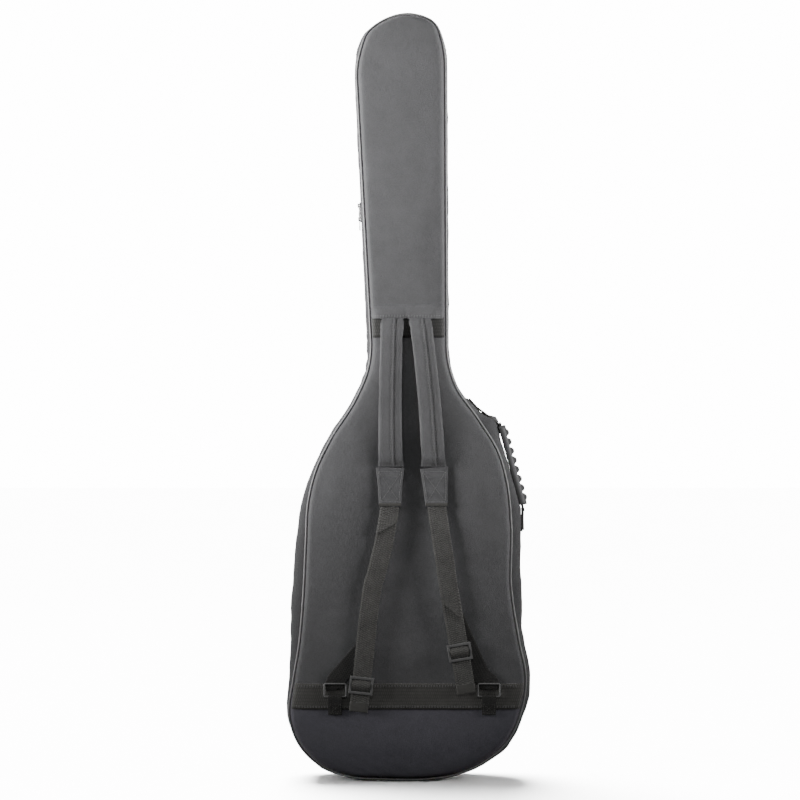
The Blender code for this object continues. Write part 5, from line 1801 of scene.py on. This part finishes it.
class GIGBAG_OT_hardware(BagPiece, bpy.types.Operator):
    """Moulded strap sliders and rings, the tabs that hold the rings and the webbing through them"""

    bl_idname = "gigbag.hardware"
    bl_label = "Sliders and rings"

    def execute(self, context):
        for side, _, line in SIDES:
            glide = moulded("tri_glide_%s_frame" % side, [node_block("tri_glide_" + side)], 0.00042, 7)
            finished(glide, "plastic", "hardware", "glide_" + side, "tri_glide_" + side)
            self.wrap(side, line)
            low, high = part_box("ring_" + side)
            x, radius = (low.x + high.x) / 2, 0.0013
            half = (high.x - low.x) / 2 - radius
            outline = round_rectangle(half, RING_AXIS_Z, high.z - radius, 0.0026, 5, 0.002)
            name = "ring_%s_wire" % side
            ring = wire(name, [(x + p.x, BACK_SEAM_Y - RING_LEVEL, p.y) for p in outline], radius)
            piece(name, ring, "plastic", "hardware", "ring_" + side, "ring_" + side)
            self.tab(side, x)
            self.ring_webbing(side, x, line)
        return {"FINISHED"}

    def wrap(self, side, line):
        """The webbing's turn over the slider's middle bar."""
        low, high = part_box("tri_glide_" + side)
        centre = (low + high) / 2
        path = web_path(line, centre.z + 0.012, centre.z - 0.012)
        ahead = Vector(path[-1] - path[0]).normalized()
        at = Vector((centre.x, 0.0, centre.z))
        half = ((0.0030, 0.0230), (0.0066, 0.0216), (0.0088, 0.0204))
        levels = [(-far, out) for far, out in half[::-1]] + [(0.0, 0.0234), *half]
        places = [at + ahead * far + Vector((0, BACK_SEAM_Y - out, 0)) for far, out in levels]
        name = "tri_glide_%s_wrap" % side
        across = ahead.cross(Vector((0, 1, 0)))
        data = ribbon(name, places, 0.0288, 0.0009, step=0.0012, crown=0.0, across=across)
        piece(name, data, "webbing", "webbing", "glide_" + side)

    def tab(self, side, x):
        """Short loop of webbing round the ring's lower bar, both plies sewn to the tape."""
        turns = np.linspace(-0.1, math.pi + 0.1, 9)
        loop = [(RING_LEVEL - 0.00215 * math.cos(t), RING_AXIS_Z + 0.00215 * math.sin(t)) for t in turns]
        levels = [(0.01515, 0.1050), (0.01515, 0.1180), (0.01515, 0.1290)] + loop
        levels += [(0.0188, 0.1270), (0.0176, 0.1190), (0.0166, 0.1120), (0.0165, 0.1050)]
        path = [(x, BACK_SEAM_Y - out, z) for out, z in levels]
        name = "ring_tab_" + side
        data = ribbon(name + "_loop", path, 0.0216, 0.0010, step=0.0009, crown=0.0, across=(1, 0, 0))
        # Darker webbing: painted shade on the tab under the ring
        piece(name + "_loop", data, "dark_webbing", "webbing", "shell", name)
        half, high, low = 0.0085, 0.1220, 0.1070
        corners = [(x - half, high), (x + half, high), (x + half, low), (x - half, low)]
        rows = box_and_cross(data, corners, BACK_SEAM_Y - 0.03, 10)
        stitches(name + "_stitches", rows, "shell", "tape", "webbing", 0.0022, 0.0010, 0.0003)

    def ring_webbing(self, side, x, line):
        """Webbing that runs from behind the ring up behind the main webbing."""
        node = "ring_webbing_" + side
        meet_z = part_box(node)[1].z
        path = smooth_path([(a, 0, b) for a, b in line], 0.004)
        meet_x = float(np.interp(meet_z, path[::-1, 2], path[::-1, 0]))
        y = BACK_SEAM_Y - 0.0153
        points = [(x, y, 0.1440), (x, y, 0.1560), (x + (meet_x - x) * 0.25, y, 0.170), (meet_x, y, meet_z)]
        data = ribbon(node + "_strip", points, 0.0285, 0.0011, skew=(0.0012, 0.0), crown=0.0,
                      curl=lambda s, c: 0.0002 * waves(s, 0.030, 4.0, c))
        at = np.array([v.co for v in data.vertices])
        ends = at[:, 2] < 0.1475
        at[ends, 2] += 0.0012 * np.sin(at[ends, 0] * math.tau / 0.0085)
        data.vertices.foreach_set("co", at.ravel())
        # Darker webbing: painted shade behind the main webbing
        piece(node + "_strip", data, "dark_webbing", "webbing", "shell", node)


# Carry handle

class GIGBAG_OT_handle(BagPiece, bpy.types.Operator):
    """Ribbed grip, the webbing through it and the patches that anchor it to the gusset"""

    bl_idname = "gigbag.handle"
    bl_label = "Carry handle"

    def execute(self, context):
        top, bottom = Vector(GRIP_TOP), Vector(GRIP_BOTTOM)
        along = (bottom - top).normalized()
        outward = Vector((-along.y, along.x))
        y = BACK_SEAM_Y + GRIP_DEPTH
        self.grip(top, along, outward, (bottom - top).length, y)
        mid = outward * 0.0039
        lift = 0.0015 + 0.0006 + 0.0009
        upper, lower = (
            [Vector(gusset_point(z, True, lift + more)[0]) for z, more in ends]
            for ends in (((0.5904, 0.0), (0.5760, 0.0), (0.5660, 0.0015)),
                         ((0.4170, 0.0006), (0.4060, 0.0), (0.3896, 0.0)))
        )
        places = [*upper, top + mid - along * 0.001, top + mid + along * 0.006,
                  bottom + mid, bottom + mid + along * 0.003 - outward * 0.0008, *lower]
        path = [(p.x, y, p.y) for p in places]
        data = ribbon("handle_webbing_strip", path, 0.0188, 0.0032, step=0.002, crown=0.0, across=(0, 1, 0))
        piece("handle_webbing_strip", data, "webbing", "webbing", "carry_handle", "handle_webbing")
        for name, height in (("handle_patch_upper", 0.580), ("handle_patch_lower", 0.400)):
            heights = np.linspace(height + 0.0128, height - 0.0128, 9)
            path = [(x, y, z) for x, z in (gusset_point(at, True, 0.0011)[0] for at in heights)]
            data = ribbon(name + "_webbing", path, 0.0190, 0.0014, step=0.0018, crown=0.0, across=(0, 1, 0))
            piece(name + "_webbing", data, "webbing", "webbing", "shell", name)
        return {"FINISHED"}

    def grip(self, top, along, outward, length, y):
        """Rubber grip: a core, a collar at each end, ribs with grooves between them, and side rails."""
        outward, along = (Vector((way.x, 0, way.y)) for way in (outward, along))
        turn = Matrix((outward, Vector((0, 1, 0)), along)).transposed().to_4x4()
        turn = Matrix.Translation((top.x, y, top.y)) @ turn
        half = 0.0118
        blocks = [block((0.0010, -half, 0.0012), (0.0100, half, length - 0.0012), turn)]
        for end in (0.0045, length - 0.0050):
            blocks.append(block((0.0012, -half, end - 0.0038), (0.0118, half, end + 0.0042), turn))

        def rod(start, end, radii, sides=14):
            blocks.append(bar(turn @ Vector(start), turn @ Vector(end), radii, outward, sides))

        pitch = (length - 0.010) / GRIP_RIBS
        for rib in range(GRIP_RIBS):
            z = 0.0050 + (rib + 0.5) * pitch
            rod((0.0102, -half, z), (0.0102, half, z), (0.0056, 0.0046))
            rod((0.0024, -half * 0.96, z + 0.004), (0.0024, half * 0.96, z + 0.004), (0.0030, 0.0014), 10)
        for side in (-1, 1):
            rod((0.0055, side * half, 0.004), (0.0055, side * half, length - 0.004), (0.0009, 0.0032), 12)
        rubber = moulded("handle_grip_rubber", blocks, 0.00075, 3)
        finished(rubber, "rubber", "grip_rubber", "carry_handle", "handle_grip")


# Front pocket

POCKET_HALF = 0.120
POCKET_LOW, POCKET_HIGH, POCKET_CORNER = 0.080, 0.400, 0.035
BINDING_HALF = 0.0035


def past_corners(z):
    """How far a height is into the pocket's lower or upper round corners."""
    below, above = POCKET_LOW + POCKET_CORNER - z, z - POCKET_HIGH + POCKET_CORNER
    return np.clip(below, 0, None) + np.clip(above, 0, None)


def pocket_out(x, z):
    """Level of the pocket's outer face, off the front's seam."""
    corner_x = np.clip(np.abs(x) - (POCKET_HALF - POCKET_CORNER), 0, None)
    corner_z = past_corners(z)
    d = np.minimum(np.minimum(POCKET_HALF - np.abs(x), z - POCKET_LOW), POCKET_HIGH - z)
    both = (corner_x > 0) & (corner_z > 0)
    d = np.where(both, np.minimum(d, POCKET_CORNER - np.hypot(corner_x, corner_z)), d)
    puff = 0.0016 * (1 - (1 - np.clip(d / 0.022, 0, 1)) ** 2)
    base = FACES["front"].height(x, z)
    pucker = 0.0004 * np.exp(-((d - 0.012) / 0.006) ** 2) * waves(x + z, 0.024, 5.0)
    sag = 0.0008 * lumps(x, z, 0.055, 9.0) + pucker
    return base + 0.0012 + puff + sag * eased(d / 0.02)


class GIGBAG_OT_pocket(BagPiece, bpy.types.Operator):
    """Flat pocket on the front with a bound edge and its own zip"""

    bl_idname = "gigbag.pocket"
    bl_label = "Front pocket"

    def execute(self, context):
        near = 0.0004 + 0.012 * np.linspace(0, 1, 8) ** 2
        zs = np.concatenate([POCKET_LOW + near, np.arange(0.097, 0.383, 0.006), (POCKET_HIGH - near)[::-1]])
        rounding = np.sqrt(np.clip(POCKET_CORNER**2 - past_corners(zs) ** 2, 0, None))
        half = POCKET_HALF - POCKET_CORNER + rounding
        line = np.linspace(-1, 1, 45)
        x = half[:, None] * (0.35 * np.sin(line * math.pi / 2) + 0.65 * line)[None]
        z = zs[:, None] + 0 * x
        points = np.stack([x, FRONT_SEAM_Y + pocket_out(x, z), z], -1)
        data = facing(tidy_normals(grid_data("pocket_cloth", points, np.stack([x, z], -1))), (0, 1, 0))
        cloth = settled(thickened(scene_object("pocket_cloth", data), sizes().cloth_thickness))
        finished(cloth, "cloth", "cloth", "front_flap", "pocket_panel")
        self.binding()
        self.zip()
        return {"FINISHED"}

    def binding(self):
        """Bound edge all round, with its row of stitches."""
        outline = round_rectangle(POCKET_HALF - BINDING_HALF, POCKET_LOW + BINDING_HALF,
                                  POCKET_HIGH - BINDING_HALF, POCKET_CORNER - 0.003, 9, 0.006)
        path = np.array([(p.x, p.y) for p in outline])
        ahead = round_loop(path)
        side = np.stack([ahead[:, 1], -ahead[:, 0]], 1)
        offsets = np.array([-BINDING_HALF, -0.0033, 0, 0.0030, 0.0036, 0.0036, 0, -0.0033])
        rises = np.array([0.0004, 0.0011, 0.0013, 0.0010, 0.0002, -0.0012, -0.0002, 0.0])
        at = path[:, None] + side[:, None] * offsets[None, :, None]
        clipped = np.clip(at, [-POCKET_HALF, POCKET_LOW], [POCKET_HALF, POCKET_HIGH])
        out = pocket_out(clipped[..., 0], clipped[..., 1]) + rises[None]
        points = np.stack([at[..., 0], FRONT_SEAM_Y + out, at[..., 1]], -1)
        far = distances(path)
        flat = np.stack(np.meshgrid(np.append(offsets, 0.004), np.append(far, far[-1] + 0.006)), -1)
        data = tidy_normals(grid_data("pocket_binding", points, flat, wrap_rows=True, wrap_columns=True))
        piece("pocket_binding", data, "binding", "cloth", "front_flap")
        x, z = (path - side * 0.0015).T
        track = np.stack([x, FRONT_SEAM_Y + (pocket_out(x, z) + 0.0014), z], 1)
        stitches("pocket_stitches", [(np.concatenate([track, track[:1]]), (0, 1, 0))], "front_flap")

    def zip(self):
        """The pocket's own zip: two tapes with their coil halves and a row of stitches."""
        low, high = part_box("pocket_zip")
        face_y, z0 = high.y + 0.0002, (low.z + high.z) / 2
        xs = np.arange(low.x, high.x + 0.0005, 0.004)
        levels = np.array([-0.0031, -0.0031, -0.0031, -0.0038, -0.0038, -0.0038])
        for side, nodes in ((-1, ("pocket_zip",)), (1, ())):
            ending = "lower" if side < 0 else "upper"
            zs = np.array([0.0004, 0.0025, 0.0067, 0.0067, 0.0025, 0.0004]) * side
            points = np.stack(np.broadcast_arrays(xs[:, None], (face_y + levels)[None], (z0 + zs)[None]), -1)
            flat = np.stack(np.meshgrid(np.append(zs, 0.0), xs), -1)
            name = "pocket_zip_tape_" + ending
            data = tidy_normals(grid_data(name, points, flat, wrap_columns=True, caps=True))
            piece(name, data, "zip_tape", "webbing", "front_flap", *nodes)
            offset = 0.0 if side < 0 else TOOTH_PITCH / 2
            far = np.arange(low.x + 0.003 + offset, high.x - 0.003, TOOTH_PITCH)
            zeros = 0 * far
            centres = np.stack([far, zeros + face_y, zeros + z0], 1)
            up = np.stack([zeros, zeros + 1, zeros], 1)
            ahead = np.stack([zeros + side, zeros, zeros], 1)
            if np.cross(ahead[0], up[0])[2] * side < 0:
                ahead = -ahead
            name = "pocket_zip_coil_" + ending
            data = many(name, COIL_TOOTH, COIL_FACES, centres, ahead, up)
            piece(name, data, "coil", "webbing", "front_flap")
        line = np.linspace(low.x + 0.003, high.x - 0.003, 60)
        path = np.stack([line, 0 * line + face_y - 0.0028, 0 * line + z0 + 0.0055], 1)
        stitches("pocket_zip_stitches", [(path, (0, 1, 0))], "front_flap", slot="webbing", length=0.0024)


# Stage

CAMERA_DISTANCE = 2.7
CAMERA_X, CAMERA_Z = -0.0133, 0.5945
SENSOR_WIDTH = 36.0
VIEW_WIDTH = 1.2516
BACKGROUND = 15.0
AMBIENT = 0.04
FLOOR_LIGHT = 52.0
FLOOR_REACH = 9
FLOOR_Z = -0.0022

# Lamps: place, what they aim at, size, power and spread
LAMPS = {
    "side_left": ((-2.54, -0.52, 1.08), (0.0, 0.0, 1.15), (0.8, 0.8), 27.5, 54),
    "side_right": ((2.54, -0.52, 1.08), (0.0, 0.0, 1.12), (0.8, 0.8), 16.5, 54),
    "front_soft": ((-0.2, -2.6, 2.3), (0.0, 0.0, 0.60), (0.9, 0.9), 2.0, 50),
    "behind_left": ((-1.7, 2.2, 1.7), (0.0, 0.0, 0.6), (1.0, 1.4), 26.0, 140),
    "behind_right": ((1.9, 2.0, 1.5), (0.0, 0.0, 0.6), (1.0, 1.4), 16.0, 140),
}


def area_light(name, at, aim, size, power, spread):
    """A soft rectangular lamp that the camera doesn't see."""
    data = bpy.data.lights.new(name, "AREA")
    data.shape = "RECTANGLE"
    data.size, data.size_y = size
    data.energy = power
    data.spread = math.radians(spread)
    lamp = scene_object(name, data)
    lamp.location = at
    lamp.rotation_euler = (Vector(aim) - Vector(at)).to_track_quat("-Z", "Y").to_euler()
    lamp.visible_camera = False


def floor_light(floor):
    """Even light from above and a little behind, for the floor only, so the bag still shades it."""
    data = bpy.data.lights.new("floor_wash", "SUN")
    data.energy = FLOOR_LIGHT
    data.angle = math.radians(38)
    lamp = scene_object("floor_wash", data)
    lamp.rotation_euler = Vector((0.22, -0.34, -1.0)).to_track_quat("-Z", "Y").to_euler()
    group = bpy.data.collections.new("floor_wash_reach")
    group.objects.link(floor)
    lamp.light_linking.receiver_collection = group


class GIGBAG_OT_stage(BagPiece, bpy.types.Operator):
    """Pale floor, soft lights and the camera"""

    bl_idname = "gigbag.stage"
    bl_label = "Stage"

    def execute(self, context):
        line = np.linspace(-FLOOR_REACH, FLOOR_REACH, 37)
        x, y = np.meshgrid(line, line, indexing="ij")
        points = np.stack([x, y, 0 * x + FLOOR_Z], -1)
        data = tidy_normals(grid_data("studio_floor", points, np.stack([x, y], -1)))
        floor = scene_object("studio_floor", facing(data, (0, 0, 1)))
        floor.data.materials.append(floor_material())
        floor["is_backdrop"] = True
        world = bpy.data.worlds.new("studio")
        world.use_nodes = True
        make = Nodes(world.node_tree)
        ground = world.node_tree.nodes["Background"]
        seen = make.add("ShaderNodeLightPath").outputs["Is Camera Ray"]
        make.put(ground, Strength=make.mapped(seen, 0.0, 1.0, AMBIENT, BACKGROUND), Color=(1.0,) * 4)
        context.scene.world = world
        for name, values in LAMPS.items():
            area_light(name, *values)
        floor_light(floor)
        camera = bpy.data.cameras.new("camera")
        camera.sensor_width = SENSOR_WIDTH
        camera.lens = SENSOR_WIDTH * CAMERA_DISTANCE / VIEW_WIDTH
        eye = scene_object("camera", camera)
        eye.location = (CAMERA_X, BACK_SEAM_Y - CAMERA_DISTANCE, CAMERA_Z)
        eye.rotation_euler = (math.pi / 2, 0.0, 0.0)
        context.scene.camera = eye
        return {"FINISHED"}


class GIGBAG_PT_pieces(bpy.types.Panel):
    """The gig bag's pieces, sizes and colours"""

    bl_idname = "GIGBAG_PT_pieces"
    bl_label = "Padded Gig Bag"
    bl_space_type = "VIEW_3D"
    bl_region_type = "UI"
    bl_category = "Gig Bag"

    def draw(self, context):
        layout = self.layout
        for values in (context.scene.bag_sizes, context.scene.bag_colours):
            box = layout.box()
            for key in values.__annotations__:
                box.prop(values, key)
        for piece in PIECES:
            layout.operator(piece.bl_idname)


PIECES = (
    GIGBAG_OT_faces,
    GIGBAG_OT_gussets,
    GIGBAG_OT_piping,
    GIGBAG_OT_main_zip,
    GIGBAG_OT_sliders,
    GIGBAG_OT_tapes,
    GIGBAG_OT_straps,
    GIGBAG_OT_tabs,
    GIGBAG_OT_webbing,
    GIGBAG_OT_hardware,
    GIGBAG_OT_handle,
    GIGBAG_OT_pocket,
    GIGBAG_OT_stage,
)
CLASSES = (BagColours, BagSizes, *PIECES, GIGBAG_PT_pieces)


def register():
    for made in CLASSES:
        bpy.utils.register_class(made)
    bpy.types.Scene.bag_colours = bpy.props.PointerProperty(type=BagColours)
    bpy.types.Scene.bag_sizes = bpy.props.PointerProperty(type=BagSizes)


def unregister():
    del bpy.types.Scene.bag_sizes
    del bpy.types.Scene.bag_colours
    for made in reversed(CLASSES):
        bpy.utils.unregister_class(made)


def corners(bounds):
    return [list(corner) for corner in bounds]


def main():
    """Builds every piece in order."""
    register()
    for piece in PIECES:
        group, name = piece.bl_idname.split(".")
        getattr(getattr(bpy.ops, group), name)()
    {"cad": corners(CAD_BOX), "visual": corners(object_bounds())}


if __name__ == "__main__":
    main()
